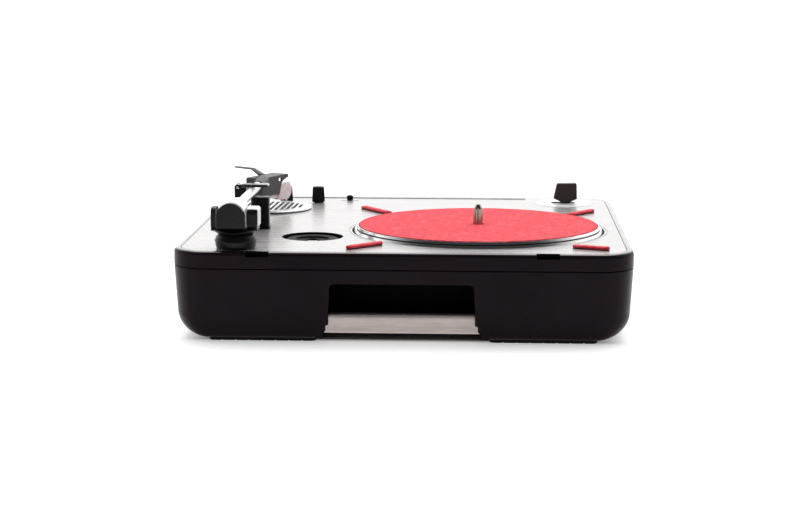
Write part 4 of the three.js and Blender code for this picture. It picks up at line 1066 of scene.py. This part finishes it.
def knobs():
    ribs = 36

    def knurl(angle, radius, height):
        side = DECK + 1 < height < DECK + 11.5 and radius > 4.4
        return 0.12 * math.cos(ribs * angle) if side else 0

    profile = from_deck([(3.35, 0.6), (4.75, 0.6), (5.0, 0.9)])
    profile += from_deck([(4.95 - 0.04 * k, 1.4 + k) for k in range(11)])
    profile += from_deck([(4.5, 11.9), (4.4, 12.4), (4.1, 12.7), (3.7, 12.8), (0, 12.8), (0, 8),
                          (3.35, 8)])
    for name, (x, y) in KNOBS.items():
        knob = lathe(f"{name}_cap", profile, (x, y), 216, knurl)
        pointer = block("pointer", (x - 0.45, y - 6, DECK + 12.3), (x + 0.45, y - 1.5, DECK + 15))
        cut(knob, pointer)
        mount(knob, BLACK, [f"{name}_knob"], body=f"{name}_body", angle=45)
    nub = lathe("speed_nub", from_deck([
        (0, 0.2), (2.5, 0.2), (2.6, 0.5), (2.65, 2.6), (2.5, 3.2), (2.1, 3.7), (1.4, 4.0), (0, 4.1)]),
        SPEED, 64)
    join(nub, prism("stem", rect_about(*SPEED, 1.6, 0.8), "z", 56, DECK + 0.8))
    soften(nub, 0.1, 1, 50)
    mount(nub, BLACK, ["speed_knob"], body="speed_body")


def scratch_switch():
    bezel = lathe("switch_bezel", from_deck([
        (0, -1.4), (18.9, -1.4), (18.9, -4), (20.1, -4), (20.1, 0.03), (22.4, 0.03), (22.5, 0.12),
        (22.2, 0.3), (20.5, 0.85), (19.4, 1.12), (18.2, 1.27), (17.0, 1.3), (0, 1.3)]), SCRATCH, 128)
    cut(bezel, prism("lever_slot", rect_about(*LEVER[:2], 9, 5, 1.5), "z", 50, 70))
    soften(bezel, 0.2, 2, 50)
    mount(bezel, SILVER, ["scratch_bezel"])
    profile = [(-2.2, -6.4), (2.2, -6.4), (2.6, 5), (2.5, 12.4), (8.8, 16.3), (6.7, 28.5), (-8.7, 26.1),
               (-9.6, 14.1), (-2.3, 11.8), (-2.6, 5)]
    radii = [0.5, 0.5, 2, 1.2, 0.9, 1.3, 1.3, 0.9, 1.2, 2]
    lever = prism("switch_paddle", fillet(profile, radii, 8), "y", -4, 4)
    lever.data.transform(Matrix.Translation(LEVER) @ Matrix.Rotation(LEVER_LEAN, 4, "Y"))
    soften(lever, 1.3, 5, 45)
    mount(lever, PADDLE, ["scratch_lever"], body="lever_body", slot="black_plastic")


# ---- pieces kept from the CAD model ----

KEPT = {
    "platter_tray": BLACK, "battery_box": BLACK, "speaker_frame": STEEL, "speaker_cone": PAPER,
    "speaker_magnet": STEEL, "amplifier_board": BOARD, "control_board": BOARD, "motor": STEEL,
    "motor_pulley": BRASS, "drive_belt": RUBBER, "platter_bush": BRASS, "swing_shaft": STEEL,
    "lift_axle": STEEL, "scratch_switch": BLACK,
}


def kept_nodes():
    for name, material in KEPT.items():
        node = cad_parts[name]
        node.data.materials.clear()
        node.data.materials.append(material)


# ---- studio ----


FLOOR_SIZE, FLOOR_GLOW = 12.0, 0.5
TENT_NEAR, TENT_FAR = 0.05, 1.4
LID_NEAR, LID_FAR = 0.035, 1.7


def pale_floor():
    """A wide floor that glows a little, except under the case, where the missing glow is a painted
    shadow.
    """
    bm = bmesh.new()
    corners = [(-1, -1), (1, -1), (1, 1), (-1, 1)]
    bm.faces.new([bm.verts.new((x * FLOOR_SIZE, y * FLOOR_SIZE, 0)) for x, y in corners])
    floor = make("floor", bm)
    paper = Shader("floor_white", (0.76, 0.76, 0.76), 0.6, Emission_Color=(1, 1, 1, 1))
    place = paper.node("ShaderNodeVectorMath", {0: paper.place}, operation="ABSOLUTE").outputs[0]
    across = paper.node("ShaderNodeSeparateXYZ", {0: place})
    # The glow fades out under the case, leaving a painted shadow there.
    beside = paper.span(across.outputs["X"], 0.120, 0.150, 0, 1)
    before = paper.span(across.outputs["Y"], 0.134, 0.143, 0, 1)
    outside = paper.math("MAXIMUM", beside, before)
    paper.use(Emission_Strength=paper.math("MULTIPLY", outside, FLOOR_GLOW))
    floor.data.materials.append(paper.material)


def studio():
    """A tent that is bright behind and above the object and dark on the near side."""
    world = bpy.data.worlds.new("studio")
    bpy.context.scene.world = world
    world.use_nodes = True
    tree = world.node_tree
    background = tree.nodes["Background"]
    towards = tree.nodes.new("ShaderNodeTexCoord")
    parts = tree.nodes.new("ShaderNodeSeparateXYZ")
    tree.links.new(towards.outputs["Generated"], parts.inputs[0])

    def ramp(value, low, high, to_low, to_high):
        made = tree.nodes.new("ShaderNodeMapRange")
        made.interpolation_type = "SMOOTHSTEP"
        tree.links.new(value, made.inputs["Value"])
        ends = {"From Min": low, "From Max": high, "To Min": to_low, "To Max": to_high}
        for key, number in ends.items():
            made.inputs[key].default_value = number
        return made.outputs["Result"]

    def combined(operation, a, b):
        made = tree.nodes.new("ShaderNodeMath")
        made.operation = operation
        tree.links.new(a, made.inputs[0])
        tree.links.new(b, made.inputs[1])
        return made.outputs[0]

    behind = ramp(parts.outputs["Y"], -0.3, 0.55, TENT_NEAR, TENT_FAR)
    above = ramp(parts.outputs["Z"], 0.25, 0.9, 0.0, 1.0)
    lid = ramp(parts.outputs["Y"], -0.45, 0.25, LID_NEAR, LID_FAR)
    cover = combined("MULTIPLY", lid, above)
    opening = combined("MULTIPLY", behind, ramp(parts.outputs["Z"], 0.25, 0.9, 1.0, 0.0))
    tree.links.new(combined("ADD", cover, opening), background.inputs["Strength"])
    background.inputs["Color"].default_value = (1, 1, 1, 1)

    place, aim = Vector((0.0, 0.5, 1.6)), Vector((0, 0.05, 0))
    light = bpy.data.lights.new("overhead", "AREA")
    light.shape = "RECTANGLE"
    light.size, light.size_y = 1.8, 1.4
    light.energy = 16
    lamp = put("overhead", light)
    lamp.location = place
    lamp.rotation_euler = (aim - place).to_track_quat("-Z", "Y").to_euler()
    view = bpy.context.scene.view_settings
    view.view_transform = "Standard"
    view.look = "None"
    view.exposure = 0.0


def camera():
    place = Vector((0.05566, -1.40177, 0.25875))
    yaw, pitch, roll = -0.0451837, 0.1597047, 0.0016423
    level = math.cos(pitch)
    ahead = Vector((math.sin(yaw) * level, math.cos(yaw) * level, -math.sin(pitch)))
    right = Vector((math.cos(yaw), -math.sin(yaw), 0))
    up = right.cross(ahead)
    tilted_right = right * math.cos(roll) + up * math.sin(roll)
    tilted_up = up * math.cos(roll) - right * math.sin(roll)
    data = bpy.data.cameras.new("camera")
    data.sensor_width = 36
    data.lens = 86.343
    data.clip_start, data.clip_end = 0.05, 50
    eye = put("camera", data)
    turn = Matrix((tilted_right, tilted_up, -ahead)).transposed().to_4x4()
    eye.matrix_world = Matrix.Translation(place) @ turn
    bpy.context.scene.camera = eye


lower_case()
upper_case()
feet()
case_screws()
handle_grip()
battery_cover()
connectors()
deck_plate()
record_pads()
adaptor()
speaker()
platter()
slipmat()
spindle()
tonearm_base()
yoke()
arm_housing()
headshell()
armrest()
knobs()
scratch_switch()
kept_nodes()
pale_floor()
studio()
camera()
